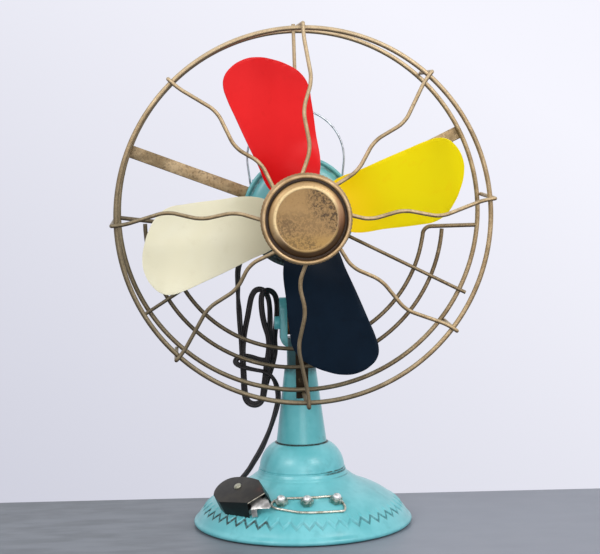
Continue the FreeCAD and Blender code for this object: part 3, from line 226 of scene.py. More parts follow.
put_down_tools()
bpy.ops.mesh.primitive_cube_add(size=1, location=(0, 0, 0))
table_top = bpy.context.object
table_top.name = "table_top"
table_turn = Matrix.Rotation(math.radians(-2.1), 4, "Z")
table_top.data.transform(table_turn @ Matrix.Translation((0, -0.911, -0.0151)) @
                         Matrix.Diagonal((4.0, 2.0, 0.03, 1)))
edge = table_top.modifiers.new("edge", "BEVEL")
edge.width, edge.segments = 0.0025, 4
bpy.ops.object.modifier_apply(modifier="edge")
painted = Finish("table_paint")
# painted shade: the table top is darker towards the left and lighter towards the right
tone = painted.stain(painted.step(painted.at("X"), -0.16, 0.10), written(104, 110, 116), written(143, 147, 158))
tone = painted.stain(painted.both(painted.step(painted.cloud(60, 6, (1, 3, 1)), 0.35, 0.65), 0.35), tone,
                     written(150, 155, 165))
table_top.data.materials.append(painted.lay(tone, painted.between(painted.cloud(25), 0.42, 0.55),
                                            painted.cloud(1.2), 0.02))


# ---- The lead: flat twin flex from the motor housing to the switch ----
# Limp black vinyl over two cores, 4 mm wide by name and 2.3 mm thick. It hangs behind the guard as a hank
# of two long loops, tied with one turn of itself, and runs down beside the pillar into the back of the
# switch cover.
lead_width, lead_thickness = 0.0040, 0.0023
pressed_wider = 1.07  # the two cores press the vinyl a little wider than its nominal width
lead_route = [  # (x, y, z, turn of the flat flex in degrees)
    (-0.03256, 0.012, 0.20268, 90), (-0.0395, 0.012, 0.1969, 90), (-0.0438, 0.0125, 0.1885, 90),
    (-0.044, 0.0104, 0.176, 60), (-0.0442, 0.0078, 0.1656, 15), (-0.0436, 0.0054, 0.1569, 80),
    (-0.0433, 0.0034, 0.1467, 70), (-0.0426, 0.0022, 0.1357, 50), (-0.0421, 0.0012, 0.1236, 80),
    (-0.0416, 0.0008, 0.1107, 85), (-0.0415, 0.0008, 0.0996, 85), (-0.0404, 0.0008, 0.0903, 85),
    (-0.0337, 0.0008, 0.0869, 85), (-0.0282, 0.0008, 0.0899, 85), (-0.0271, 0.0008, 0.0992, 85),
    (-0.0258, 0.0006, 0.1078, 85), (-0.0245, 0.0004, 0.1183, 80), (-0.0226, 0.0004, 0.1281, 60),
    (-0.0226, 0.0006, 0.1379, 70), (-0.0253, 0.0006, 0.1459, 85), (-0.0271, 0.0008, 0.1551, 85),
    (-0.0276, 0.0014, 0.1643, 80), (-0.0267, 0.0026, 0.1701, 60), (-0.0222, 0.0048, 0.1721, 100),
    (-0.0172, 0.0072, 0.1689, 120), (-0.0155, 0.0088, 0.1615, 140), (-0.0156, 0.0092, 0.1538, 145),
    (-0.0169, 0.009, 0.144, 130), (-0.018, 0.0086, 0.1348, 115), (-0.0176, 0.0078, 0.1263, 150),
    (-0.0195, 0.0068, 0.1184, 156), (-0.0219, 0.006, 0.1109, 156), (-0.0245, 0.0052, 0.1046, 152),
    (-0.0263, 0.0048, 0.0976, 155), (-0.0276, 0.0046, 0.0903, 157), (-0.033, 0.0046, 0.087, 160),
    (-0.0393, 0.0046, 0.0896, 155), (-0.0409, 0.0046, 0.0981, 149), (-0.0411, 0.0046, 0.1082, 149),
    (-0.0416, 0.0048, 0.1193, 150), (-0.0415, 0.005, 0.1292, 132), (-0.0406, 0.0052, 0.1371, 122),
    (-0.0392, 0.0054, 0.1451, 122), (-0.0375, 0.0054, 0.1524, 135), (-0.0361, 0.0054, 0.1597, 135),
    (-0.0345, 0.0056, 0.1675, 146), (-0.0309, 0.0058, 0.1726, 140), (-0.0249, 0.006, 0.1719, 132),
    (-0.0218, 0.0054, 0.1655, 112), (-0.0211, 0.0044, 0.157, 112), (-0.0212, 0.0038, 0.1472, 132),
    (-0.0218, 0.0036, 0.1387, 150), (-0.021, 0.0034, 0.1288, 157), (-0.0206, 0.0046, 0.1206, 165),
    (-0.0272, 0.0072, 0.1191, 210), (-0.0375, 0.0084, 0.1229, 200), (-0.0444, 0.0066, 0.1229, 212),
    (-0.048, 0.0024, 0.1199, 260), (-0.0441, -0.0018, 0.1169, 240), (-0.0344, -0.0022, 0.1143, 215),
    (-0.0253, -0.0026, 0.1126, 212), (-0.02, -0.003, 0.1082, 212), (-0.0172, -0.0038, 0.1009, 262),
    (-0.0165, -0.0052, 0.0933, 260), (-0.0184, -0.0082, 0.0856, 255), (-0.023, -0.015, 0.074, 220),
    (-0.0272, -0.018, 0.065, 240), (-0.0316, -0.0202, 0.0568, 260), (-0.0362, -0.0215, 0.05, 250),
    (-0.0402, -0.0226, 0.0436, 240), (-0.04642, -0.0272, 0.03777, 240)]

put_down_tools()
lead_line = bpy.data.curves.new("lead_line", "CURVE")
lead_line.dimensions, lead_line.resolution_u = "3D", 10
flex = lead_line.splines.new("NURBS")
flex.points.add(len(lead_route) - 1)
for point, (x, y, z, turn) in zip(flex.points, lead_route):
    point.co, point.tilt = (x, y, z, 1), math.radians(turn)
flex.order_u, flex.use_endpoint_u = 3, True
lead = bpy.data.objects.new("lead", lead_line)
scene.collection.objects.link(lead)
bpy.context.view_layer.update()
bare_line = bpy.data.meshes.new_from_object(lead.evaluated_get(bpy.context.evaluated_depsgraph_get()))

section = bpy.data.curves.new("lead_section", "CURVE")
lobe = section.splines.new("BEZIER")
lobe.use_cyclic_u = True
half, thick = lead_width / 2 * pressed_wider, lead_thickness / 2
section_spots = [(half, 0), (half * 0.52, thick), (0, thick * 0.72), (-half * 0.52, thick), (-half, 0),
                 (-half * 0.52, -thick), (0, -thick * 0.72), (half * 0.52, -thick)]
lobe.bezier_points.add(len(section_spots) - 1)
for spot, (x, y) in zip(lobe.bezier_points, section_spots):
    spot.co = (x, y, 0)
    spot.handle_left_type = spot.handle_right_type = "AUTO"
section.resolution_u = 3
section_shape = bpy.data.objects.new("lead_section", section)
scene.collection.objects.link(section_shape)
lead_line.bevel_mode, lead_line.bevel_object, lead_line.use_fill_caps = "OBJECT", section_shape, True
put_down_tools()
lead.select_set(True)
bpy.context.view_layer.objects.active = lead
bpy.ops.object.convert(target="MESH")
lead = bpy.context.object
bpy.ops.object.shade_smooth_by_angle(angle=math.radians(50))
bpy.data.objects.remove(section_shape)

vinyl = Finish("black_flex", shine=0.4)
dust = vinyl.step(vinyl.cloud(5, 6), 0.52, 0.72)
tone = vinyl.stain(vinyl.between(dust, 0.0, 0.5), written(22, 16, 18), written(46, 38, 40))
lead.data.materials.append(vinyl.lay(tone, vinyl.between(vinyl.cloud(3), 0.38, 0.6), vinyl.cloud(0.6), 0.03))


def stand_on(origin, along, side=None):
    """Matrix whose Z runs along a direction from an origin in millimetres."""
    z = Vector(along).normalized()
    x = Vector(side) if side else (Vector((1, 0, 0)) if abs(z.x) < 0.9 else Vector((0, 0, 1)))
    x = (x - z * x.dot(z)).normalized()
    return Matrix.Translation(Vector(origin) / 1000) @ Matrix((x, z.cross(x), z)).transposed().to_4x4()


def choose(test):
    """Selects the vertices of the mesh being edited that pass the test, and what lies between them."""
    shape = bmesh.from_edit_mesh(bpy.context.object.data)
    bpy.ops.mesh.select_all(action="DESELECT")
    for v in shape.verts:
        v.select = test(v.co)
    shape.select_flush(True)
    bmesh.update_edit_mesh(bpy.context.object.data)


def traced(name, points, closed=False):
    """Draws a mesh on from one vertex, point to point in millimetres; a fourth number rounds that corner."""
    put_down_tools()
    bpy.ops.mesh.primitive_plane_add(size=0.001, enter_editmode=True, location=(0, 0, 0))
    bpy.context.object.name = bpy.context.object.data.name = name
    bpy.context.tool_settings.mesh_select_mode = (True, False, False)
    bpy.ops.mesh.merge(type="CENTER")
    spots = [Vector(p[:3]) / 1000 for p in points]
    bpy.ops.transform.translate(value=spots[0])
    for before, after in zip(spots, spots[1:]):
        bpy.ops.mesh.extrude_region_move(TRANSFORM_OT_translate={"value": after - before})
    if closed:
        bpy.ops.mesh.select_all(action="SELECT")
        bpy.ops.mesh.edge_face_add()
        bpy.ops.mesh.delete(type="ONLY_FACE")
    for spot, point in zip(spots, points):
        if len(point) > 3 and point[3]:
            choose(lambda co, s=spot: (co - s).length < 1e-6)
            bpy.ops.mesh.bevel(offset=point[3] / 1000, segments=5, affect="VERTICES", clamp_overlap=True)
    bpy.ops.mesh.select_all(action="SELECT")
    return bpy.context.object


def settle(piece, stand=None, smooth=40):
    """Leaves edit mode, puts the place into the mesh and smooths all but the sharp edges."""
    bpy.ops.object.mode_set(mode="OBJECT")
    if stand is not None:
        piece.data.transform(stand)
    bpy.ops.object.shade_smooth_by_angle(angle=math.radians(smooth))
    return piece


def turned(name, outline, steps=96, stand=None, smooth=40, closed=False):
    """Outline of (radius, height) spots in millimetres, each with an optional rounding, spun right round."""
    piece = traced(name, [(p[0], 0, p[1]) + tuple(p[2:]) for p in outline], closed)
    bpy.ops.mesh.spin(steps=steps, angle=math.tau, center=(0, 0, 0), axis=(0, 0, 1))
    bpy.ops.mesh.select_all(action="SELECT")
    bpy.ops.mesh.remove_doubles(threshold=1e-6)
    bpy.ops.mesh.normals_make_consistent(inside=False)
    return settle(piece, stand, smooth)


def fitted(piece, body, slot, material, *nodes):
    """Gives a piece its finish and body, and lets it stand for its plain solids. The slot is not used."""
    piece.data.materials.clear()
    piece.data.materials.append(material)
    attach(piece, body)
    if nodes:
        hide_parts(*nodes)
    return piece


drum_exit = (-26.05, 12, 208.15)
sleeve_way = Vector((-0.766, 0, -0.643))
sleeve_outline = [(0, -4), (2.7, -4), (2.7, 0.05), (4.3, 0.05, 0.2), (4.3, 1.3, 0.4), (3.7, 1.6, 0.1)]
for k in range(4):
    foot, width = 2.0 + 1.5 * k, 3.6 - 0.27 * k
    sleeve_outline += [(width, foot, 0.15), (width, foot + 0.9, 0.15), (width - 0.45, foot + 1.0, 0.1),
                       (width - 0.5, foot + 1.45, 0.1)]
sleeve_outline += [(2.5, 8.9, 0.2), (1.9, 9.0), (0, 9.0)]
lead_sleeve = turned("lead_sleeve", sleeve_outline, 48, stand_on(drum_exit, sleeve_way))
rubber = Finish("black_rubber", shine=0.3)
tone = rubber.stain(rubber.step(rubber.cloud(3), 0.45, 0.7), written(26, 23, 24), written(52, 48, 48))
fitted(lead_sleeve, "head", "lead_black", rubber.lay(tone, rubber.between(rubber.cloud(2), 0.55, 0.75),
                                                    rubber.cloud(0.4), 0.02), "head_cord_grommet")
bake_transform(lead)
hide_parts("cord_upper", "cord_hank", "cord_lower")


# ---- Skirt of the stand ----
# Spun from 1.2 mm sheet with a rolled rim, embossed with fifty scallops and sprayed turquoise. Dark
# patina was rubbed into the scallops and the grooves under the dome.
skirt_upper = [(31.8, 41), (32.2, 37), (40.0, 31.06), (50, 27.56)]
skirt_lower = [(50, 27.56), (61.8, 23.4), (73.2, 14.0), (78.0, 5.2)]
scallops = 50
skirt_sheet = 1.2
scallop_arm, scallop_bottom, scallop_tip, scallop_top = 4.4, 69.8, 73.9, 66.0
band_start, band_end, band_rows = 63.4, 77.4, 34


def swept(corners, count):
    return [(p.x, p.y) for p in interpolate_bezier(*[Vector(c + (0,)) for c in corners], count)]


upper_line, lower_line = swept(skirt_upper, 60), swept(skirt_lower, 60)


def skirt_spot(radius):
    """Height and slope of the skirt's outside at a distance from its axis, in mm."""
    line = upper_line if radius < 50 else lower_line
    for (r0, z0), (r1, z1) in zip(line, line[1:]):
        if r0 <= radius <= r1:
            slope = (z1 - z0) / (r1 - r0)
            return z0 + slope * (radius - r0), slope
    return line[-1][1], -2.0


def on_skirt(radius, angle_deg, lift=0.0):
    """Spot on the skirt, lifted off it square to its surface, with that square direction."""
    height, slope = skirt_spot(radius)
    a = math.radians(angle_deg)
    out = Vector((-slope, 0, 1)).normalized()
    normal = Vector((out.x * math.cos(a), out.x * math.sin(a), out.z))
    return Vector((radius * math.cos(a), radius * math.sin(a), height)) + normal * lift, normal


def scallop(angle, radius):
    """Relief of one pressed petal and share of patina in the line round it, at one spot of the band."""
    pitch = math.tau / scallops
    across_mm = abs((angle / pitch) % 1.0 - 0.5) * pitch * 72
    down = max(0.0, (radius - scallop_bottom) / (scallop_tip - scallop_bottom))
    side = scallop_arm * (1 - min(down, 1.4) ** 1.15)
    off = (across_mm - side) * (1.0 if down == 0 else 0.68)
    fade = max(0.0, min(1.0, (radius - scallop_top) / 3.0)) * max(0.0, min(1.0, (77.0 - radius) / 1.4))
    line = math.exp(-(off / 0.70) ** 2) * fade
    lip = math.exp(-((off + 1.25) / 0.62) ** 2) * fade
    petal = max(0.0, min(1.0, (-off - 0.2) / 1.6)) * fade
    low = max(0.0, min(1.0, (radius - 68.6) / 1.2))
    return petal * 0.30 + lip * 0.46 - line * 0.48, line * (0.22 + 0.78 * low)


neck = [(23.2, 39.8), (23.2, 41.0), (31.2, 41.0), (31.75, 40.85), (31.9, 40.5), (31.75, 40.1), (31.95, 39.6),
        (32.3, 38.9), (32.62, 38.2), (32.75, 37.8), (33.2, 37.35), (33.7, 36.9), (34.1, 36.3), (34.25, 36.0)]
skirt_outline = neck + [p for p in upper_line[8::4] if p[0] > 34.6]
skirt_outline += [p for p in lower_line if p[0] < 63.0][3::4]
for k in range(band_rows + 1):
    r = band_start + (band_end - band_start) * k / band_rows
    skirt_outline.append((r, skirt_spot(r)[0]))
skirt_inside = [(33.0, 34.0)]
for r in (40.0, 50.0, 58.0, 64.0, 68.0, 71.0, 73.5, 75.5, 77.0):
    height, slope = skirt_spot(r)
    across_sheet = Vector((-slope, 1)).normalized() * skirt_sheet
    skirt_inside.append((r - across_sheet.x, height - across_sheet.y))
rim_turn = [(78.25, 5.1), (79.0, 4.6), (79.75, 3.8), (80.15, 2.8), (79.9, 1.8), (79.3, 1.0), (78.5, 0.5),
            (77.8, 0.4)]
skirt_outline += rim_turn + [(76.8, 0.6)] + skirt_inside[::-1] + [(30.6, 39.0), (23.2, 39.8)]
skirt = turned("skirt", skirt_outline, steps=scallops * 18, smooth=45)
patina = skirt.data.attributes.new("patina", "FLOAT", "POINT")
for k, v in enumerate(skirt.data.vertices):
    radius = math.hypot(v.co.x, v.co.y) * 1000
    on_top = v.co.z * 1000 > skirt_spot(max(32.0, min(78.0, radius)))[0] - 0.4
    if band_start < radius < band_end and on_top:
        angle = math.atan2(v.co.y, v.co.x)
        lift, stain = scallop(angle, radius)
        slope = skirt_spot(radius)[1]
        out = Vector((-slope, 0, 1)).normalized()
        v.co += Vector((out.x * math.cos(angle), out.x * math.sin(angle), out.z)) * lift / 1000
        patina.data[k].value = stain
skirt.data.update()

turquoise, turquoise_deep = written(99, 190, 197), written(80, 170, 176)
turquoise_light = written(120, 205, 212)
patina_brown = written(62, 56, 44)


def turquoise_paint(name, where_patina_and_shade=None, painted_shade_share=0.0, tone_of_patina_and_shade=None):
    """Satin turquoise over sheet metal: cloudy tone, orange peel, a darker turquoise laid on as painted shade,
    and patina, on some pieces with painted shade, in the given tone where the mask says.
    """
    paint = Finish(name, coat=0.35, coat_rough=0.22, shine=0.5)
    tone = paint.stain(paint.step(paint.cloud(22, 3), 0.38, 0.66), turquoise, turquoise_light)
    tone = paint.stain(paint.both(paint.step(paint.cloud(13, 5, shift=(3, 1, 2)), 0.52, 0.74), 0.55), tone,
                       turquoise_deep)
    specks = paint.step(paint.cloud(1.1, 2, shift=(7, 0, 0)), 0.70, 0.78)
    tone = paint.stain(paint.both(specks, 0.35), tone, turquoise_deep)
    # painted shade: a darker turquoise laid over by the given share, for pieces that stand in the shade of the
    # head
    tone = paint.stain(painted_shade_share, tone, written(66, 160, 162))
    rough = paint.between(paint.cloud(4), 0.30, 0.46)
    if where_patina_and_shade:
        # patina, and on some pieces painted shade, laid on in the given tone where the mask says
        patina_and_painted_shade = where_patina_and_shade(paint)
        tone = paint.stain(patina_and_painted_shade, tone, tone_of_patina_and_shade(paint) if tone_of_patina_and_shade else patina_brown)
        rough = paint.sum("ADD", rough, paint.both(patina_and_painted_shade, 0.35))
    return paint.lay(tone, rough, paint.cloud(0.9, 3), 0.035)


def skirt_patina_and_contact_shadow(paint):
    mark = node_in(paint.tree, "ShaderNodeAttribute", attribute_name="patina").outputs["Fac"]
    patchy = paint.step(paint.cloud(20, 3, shift=(1, 4, 0)), 0.40, 0.62)
    fine = paint.step(paint.cloud(2.2, 4), 0.36, 0.58)
    right = paint.both(paint.step(paint.at("X"), 0.026, 0.040), paint.step(paint.at("Y"), -0.016, -0.032))
    left = paint.both(paint.step(paint.at("X"), -0.023, -0.031), paint.step(paint.at("Y"), -0.002, -0.014))
    back = paint.both(paint.step(paint.at("Y"), 0.0, 0.02), patchy)
    where = paint.sum("MAXIMUM", paint.sum("MAXIMUM", paint.both(right, 0.80), left),
                      paint.sum("MAXIMUM", back, paint.both(patchy, 0.40)))
    scallop_stain = paint.both(paint.both(paint.step(mark, 0.16, 0.62), where), paint.between(fine, 0.65, 1.0))
    upper_right = paint.both(paint.step(paint.at("X"), 0.012, 0.018), paint.step(paint.at("Y"), 0.004, -0.010))
    upper = paint.both(paint.band(paint.at("Z"), 0.0400, 0.0005, 0.0004), upper_right)
    lower_right = paint.both(paint.step(paint.at("X"), 0.018, 0.026), paint.step(paint.at("Y"), -0.004, -0.014))
    lower = paint.both(paint.band(paint.at("Z"), 0.0369, 0.0002, 0.0003), lower_right)
    groove = paint.both(paint.sum("ADD", upper, paint.both(lower, 0.6)), paint.between(fine, 0.7, 1.0))
    # painted shadow: the lowest 1.6 mm of the rolled rim darkened, where the skirt meets the table
    foot = paint.both(paint.step(paint.at("Z"), 0.0016, 0.0004), 0.85)
    return paint.sum("MAXIMUM", paint.sum("MAXIMUM", scallop_stain, paint.both(groove, 0.85)), foot)


def skirt_patina_and_shadow_colour(paint):
    right_and_low = paint.both(paint.step(paint.at("X"), -0.010, 0.024),
                               paint.step(paint.at("Z"), 0.030, 0.026))
    return paint.stain(right_and_low, written(34, 56, 52), written(40, 104, 108))


fitted(skirt, "stand", "turquoise_paint", turquoise_paint("skirt_paint", skirt_patina_and_contact_shadow, 0.0, skirt_patina_and_shadow_colour),
       "base_skirt")


# ---- Plate, felt, rod and nut under the stand ----
# A dished steel plate is pressed into the skirt and covered with felt. The rod's nut pulls the plate
# against the pillar, so that the skirt, dome, pillar and fork are held by one rod.
def bright_metal(name, light, dark, metal=0.9, rough=(0.25, 0.42), grain=3.0):
    """Plated or turned metal: cloudy tone with fine scratches."""
    plate = Finish(name, metal=metal)
    cloudy = plate.step(plate.cloud(grain, 5), 0.36, 0.68)
    fine = plate.cloud(0.7, 3, (1, 6, 1))
    tone = plate.stain(cloudy, written(*light), written(*dark))
    return plate.lay(tone, plate.between(plate.cloud(grain * 0.6), *rough), fine, 0.012)


plain_steel = bright_metal("plain_steel", (172, 172, 170), (118, 116, 112))
felt = Finish("felt", shine=0.1)
felt.shader.inputs["Sheen Weight"].default_value = 0.4
tone = felt.stain(felt.step(felt.cloud(1.2, 6), 0.38, 0.64), written(52, 56, 58), written(84, 88, 90))
felt_cloth = felt.lay(tone, 0.95, felt.cloud(0.35, 6), 0.12)


def dress(node, material):
    """Keeps a plain solid whose shape is right and gives it its finish."""
    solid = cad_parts[node]
    solid.data.materials.clear()
    solid.data.materials.append(material)


for node in ("base_plate", "tie_rod", "tie_rod_nut"):
    dress(node, plain_steel)
dress("base_felt", felt_cloth)


# ---- Dome and pillar ----
# The dome is a spun cap that sits on the skirt's neck, and the pillar is a tapered tube with a slightly
# flared foot. Both are turquoise, with a brown line of patina where they meet; the pillar's paint carries
# painted shade, darkest at its head under the fork.
def dome_creases(paint):
    ragged = paint.step(paint.cloud(2.5, 4), 0.34, 0.56)
    seam = paint.both(paint.band(paint.at("Z"), 0.0411, 0.0005, 0.0006),
                      paint.both(paint.step(paint.at("X"), 0.008, 0.020), ragged))
    top = paint.both(paint.step(paint.at("Z"), 0.05945, 0.0599), paint.between(ragged, 0.55, 1.0))
    return paint.sum("MAXIMUM", seam, top)


dome_outline = [(3.05, 58.8), (3.05, 60.0), (17.0, 60.0), (18.9, 59.85)]
dome_outline += swept([(31.0, 42.6), (30.8, 48.2), (27.0, 56.6), (19.2, 59.9)], 20)[::-1]
dome_outline += [(31.25, 41.9), (31.2, 41.3), (30.9, 41.02), (29.6, 41.0), (29.4, 45.0), (24.0, 56.0),
                 (17.5, 58.7), (3.05, 58.8)]
dome = turned("dome", dome_outline, 144)
fitted(dome, "stand", "turquoise_paint", turquoise_paint("dome_paint", dome_creases), "base_dome")


def pillar_patina_and_head_shade(paint):
    ragged = paint.step(paint.cloud(2.4, 4), 0.30, 0.55)
    foot = paint.both(paint.step(paint.at("Z"), 0.0612, 0.0603), paint.between(ragged, 0.5, 1.0))
    side = paint.both(paint.step(paint.at("X"), 0.006, 0.016), paint.step(paint.at("Z"), 0.068, 0.060))
    grey = paint.both(paint.both(side, paint.step(paint.cloud(3.5, 5), 0.48, 0.66)), 0.45)
    # painted shade: the head of the pillar, under the fork and the motor, darkened
    head = paint.both(paint.step(paint.at("Z"), 0.1085, 0.1150), paint.between(ragged, 0.55, 0.9))
    return paint.sum("MAXIMUM", paint.sum("MAXIMUM", foot, grey), head)


def pillar_patina_and_shade_colour(paint):
    # brown patina low down; above 100 mm a dark teal that is painted shade under the fork
    return paint.stain(paint.step(paint.at("Z"), 0.09, 0.10), patina_brown, written(38, 62, 66))


pillar_outline = [(17.2, 60.05), (18.0, 60.05), (18.38, 60.3), (18.4, 60.8), (18.2, 61.6), (17.5, 67.0),
                  (15.6, 82.0), (13.5, 98.5), (11.7, 112.8), (11.3, 115.2), (11.0, 115.9), (9.8, 116.0),
                  (9.75, 113.0), (17.2, 60.05)]
pillar = turned("pillar", pillar_outline, 128)
# the pillar paint is darkened by painted shade at a share of 0.45
fitted(pillar, "stand", "turquoise_paint", turquoise_paint("pillar_paint", pillar_patina_and_head_shade, 0.45, pillar_patina_and_shade_colour),
       "column")


# ---- Tilting knuckle ----
# A forged fork stands in the pillar. The tongue under the motor sits in it between two fibre washers, and
# a painted round-headed bolt with a nut holds the head at any tilt.
def smoothed_copy(name, node, edge=0.25, segments=2, smooth=35):
    """Copy of a solid whose shape is right, with its points merged, its flats joined and its edges broken."""
    put_down_tools()
    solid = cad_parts[node]
    piece = solid.copy()
    piece.data = solid.data.copy()
    piece.parent, piece.name, piece.data.name = None, name, name
    for key in [k for k in piece.keys() if k.startswith("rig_")]:
        del piece[key]
    scene.collection.objects.link(piece)
    piece.hide_render = piece.hide_viewport = False
    piece.select_set(True)
    bpy.context.view_layer.objects.active = piece
    bpy.ops.mesh.customdata_custom_splitnormals_clear()
    bpy.ops.object.mode_set(mode="EDIT")
    bpy.ops.mesh.select_all(action="SELECT")
    bpy.ops.mesh.remove_doubles(threshold=2e-6)
    bpy.ops.mesh.dissolve_limited(angle_limit=math.radians(1.0))
    bpy.ops.object.mode_set(mode="OBJECT")
    if edge:
        broken = piece.modifiers.new("edges", "BEVEL")
        broken.width, broken.segments, broken.limit_method = edge / 1000, segments, "ANGLE"
        broken.angle_limit = math.radians(35)
        bpy.ops.object.modifier_apply(modifier="edges")
    bpy.ops.object.shade_smooth_by_angle(angle=math.radians(smooth))
    return piece


def fork_patina_and_inner_shade(paint):
    ragged = paint.step(paint.cloud(3.0, 4), 0.40, 0.60)
    corner = paint.both(paint.step(paint.at("Z"), 0.139, 0.131), paint.step(paint.at("X"), -0.0075, -0.0125))
    gap = paint.band(paint.at("X"), 0.0, 0.0088, 0.001)
    # painted shade: the inside of the fork between its arms, and its neck below, darkened
    inside = paint.both(paint.step(paint.at("Z"), 0.1385, 0.1372), gap)
    below = paint.both(paint.step(paint.at("Z"), 0.127, 0.122), 0.8)
    patina_and_painted_shade = paint.sum("MAXIMUM", paint.both(corner, paint.between(ragged, 0.35, 0.95)), paint.both(inside, 0.85))
    return paint.sum("MAXIMUM", patina_and_painted_shade, below)


def fork_patina_and_shade_colour(paint):
    # dark teal-black for the painted shade inside and under the fork, grey for the patina on its lower left
    # corner
    return paint.stain(paint.step(paint.at("X"), -0.0075, -0.0100), written(30, 46, 50), written(98, 108, 108))


fork = smoothed_copy("fork", "knuckle_fork", 0.9, 3)
# the fork paint is darkened by painted shade at a share of 0.3
fitted(fork, "stand", "turquoise_paint", turquoise_paint("fork_paint", fork_patina_and_inner_shade, 0.3, fork_patina_and_shade_colour),
       "knuckle_fork")
tongue = smoothed_copy("tongue", "neck_bracket", 0.5, 2)


def tongue_creases(paint):
    return paint.both(paint.step(paint.cloud(6.0, 5), 0.42, 0.62), paint.step(paint.at("Z"), 0.172, 0.152))


fitted(tongue, "head", "turquoise_paint", turquoise_paint("tongue_paint", tongue_creases), "neck_bracket")
bolt = smoothed_copy("bolt", "tilt_bolt", 0.35, 3)
knuckle_paint = turquoise_paint("knuckle_paint")
fitted(bolt, "stand", "turquoise_paint", knuckle_paint, "tilt_bolt")
bolt_nut = smoothed_copy("bolt_nut", "tilt_bolt_nut", 0.35, 2)
fitted(bolt_nut, "stand", "plain_steel", plain_steel, "tilt_bolt_nut")
fibre = Finish("friction_fibre", shine=0.2)
tone = fibre.stain(fibre.step(fibre.cloud(0.8, 5), 0.4, 0.62), written(96, 66, 44), written(134, 98, 66))
dress("friction_washers", fibre.lay(tone, 0.8, fibre.cloud(0.5, 4), 0.04))
saddle_rivets = smoothed_copy("saddle_rivets", "bracket_rivets", 0.2, 2)
fitted(saddle_rivets, "head", "turquoise_paint", knuckle_paint, "bracket_rivets")


# ---- Motor housing ----
# A rolled drum with a pressed front plate and a domed rear cap, all sprayed turquoise. The front plate has
# a beaded rim and a shallow dome, and three screws hold the cap.
axis_height = 230.0


def on_fan(turn_deg=0.0, forward=0.0):
    """Matrix whose Z runs forward along the fan's axis and whose X is turned from +X towards +Z."""
    facing_front = Matrix.Rotation(math.radians(90), 4, "X")
    return Matrix.Translation((0, -forward / 1000, axis_height / 1000)) @ facing_front @ \
        Matrix.Rotation(math.radians(turn_deg), 4, "Z")


def round_axis(finish):
    """Height over the fan's axis and distance from it, in metres."""
    height = finish.sum("SUBTRACT", finish.at("Z"), axis_height / 1000)
    squares = finish.sum("ADD", finish.both(finish.at("X"), finish.at("X")), finish.both(height, height))
    return height, finish.sum("POWER", squares, 0.5)


plate_outline = [(5.0, 28.5), (5.0, 29.7), (10.0, 29.7, 2), (20.2, 28.95, 4), (28.2, 27.45, 4), (34.2, 25.1, 2),
                 (35.6, 23.3, 0.5), (37.0, 23.2, 0.4)]
plate_outline += [(38.7 + 1.5 * math.cos(a), 23.2 + 1.5 * math.sin(a))
                  for a in [math.radians(d) for d in range(165, -91, -15)]]
plate_outline += [(34.0, 21.3), (34.0, 22.1), (33.0, 23.9), (27.8, 26.2), (20.0, 27.7), (10.0, 28.5),
                  (5.0, 28.5)]
front_plate = turned("front_plate", plate_outline, 160, on_fan())


def plate_patina_and_lower_shade(paint):
    radius = round_axis(paint)[1]
    ragged = paint.step(paint.cloud(3.0, 4), 0.38, 0.60)
    ring_line = paint.both(paint.both(paint.band(radius, 0.0362, 0.0006, 0.0007), ragged), 0.55)
    # painted shade: the lower left of the front plate, behind the cream blade, darkened in blotches
    low_left = paint.both(paint.step(paint.sum("SUBTRACT", paint.both(paint.at("X"), -0.5), paint.at("Z")),
                                     -0.208, -0.199), paint.step(paint.at("X"), 0.016, 0.006))
    spots = paint.between(paint.step(paint.cloud(5, 5, shift=(6, 1, 2)), 0.30, 0.52), 0.65, 1.0)
    return paint.sum("MAXIMUM", ring_line, paint.both(low_left, spots))


def plate_patina_and_shade_colour(paint):
    # dark teal blotches, for the patina in the groove and the painted shade at the lower left
    return paint.stain(paint.step(paint.cloud(2.5, 4), 0.40, 0.66), written(34, 46, 50), written(58, 78, 80))


# the plate paint is darkened by painted shade at a share of 0.1
fitted(front_plate, "head", "turquoise_paint", turquoise_paint("plate_paint", plate_patina_and_lower_shade, 0.1, plate_patina_and_shade_colour),
       "motor_front_plate")
housing_paint = turquoise_paint("housing_paint")
drum = smoothed_copy("drum", "motor_drum", 0.3, 2, 50)
fitted(drum, "head", "turquoise_paint", housing_paint, "motor_drum")
cap_curve = swept([(35.2, -38), (35.2, -47.75), (21, -51), (9, -51)], 24)
cap_inside = swept([(34.0, -38), (34.0, -46.85), (20, -49.8), (9, -49.8)], 10)[::-1]
rear_cap = turned("rear_cap", [(35.2, -32.0), (35.2, -36.0)] + cap_curve +
                  [(5.0, -51.0), (5.0, -49.8), (9, -49.8)] + cap_inside +
                  [(34.05, -32.0), (35.2, -32.0)], 128, on_fan())
fitted(rear_cap, "head", "turquoise_paint", housing_paint, "motor_rear_cap")
lip_screws = smoothed_copy("lip_screws", "cap_screws", 0.2, 2)
fitted(lip_screws, "head", "plain_steel", plain_steel, "cap_screws")
bush_brass = bright_metal("bush_brass", (190, 158, 98), (140, 108, 60))
for name, node in (("bush_front", "front_bush"), ("bush_rear", "rear_bush")):
    fitted(smoothed_copy(name, node, 0.3, 2), "head", "bush_brass", bush_brass, node)


# ---- Wire guard ----
# Two rings, three flat strips, three plain wires, two half hoops behind the blades and eight waved wires
# in front, all brass-plated iron, welded and rubbed with brown patina. Painted shade darkens the undersides,
# the lower left and most wires behind the blades, and a painted highlight lightens the tops.
ring_radius, ring_wire = 128.2, 1.7
ring_forward = {"rear": 23.0, "front": 80.0}


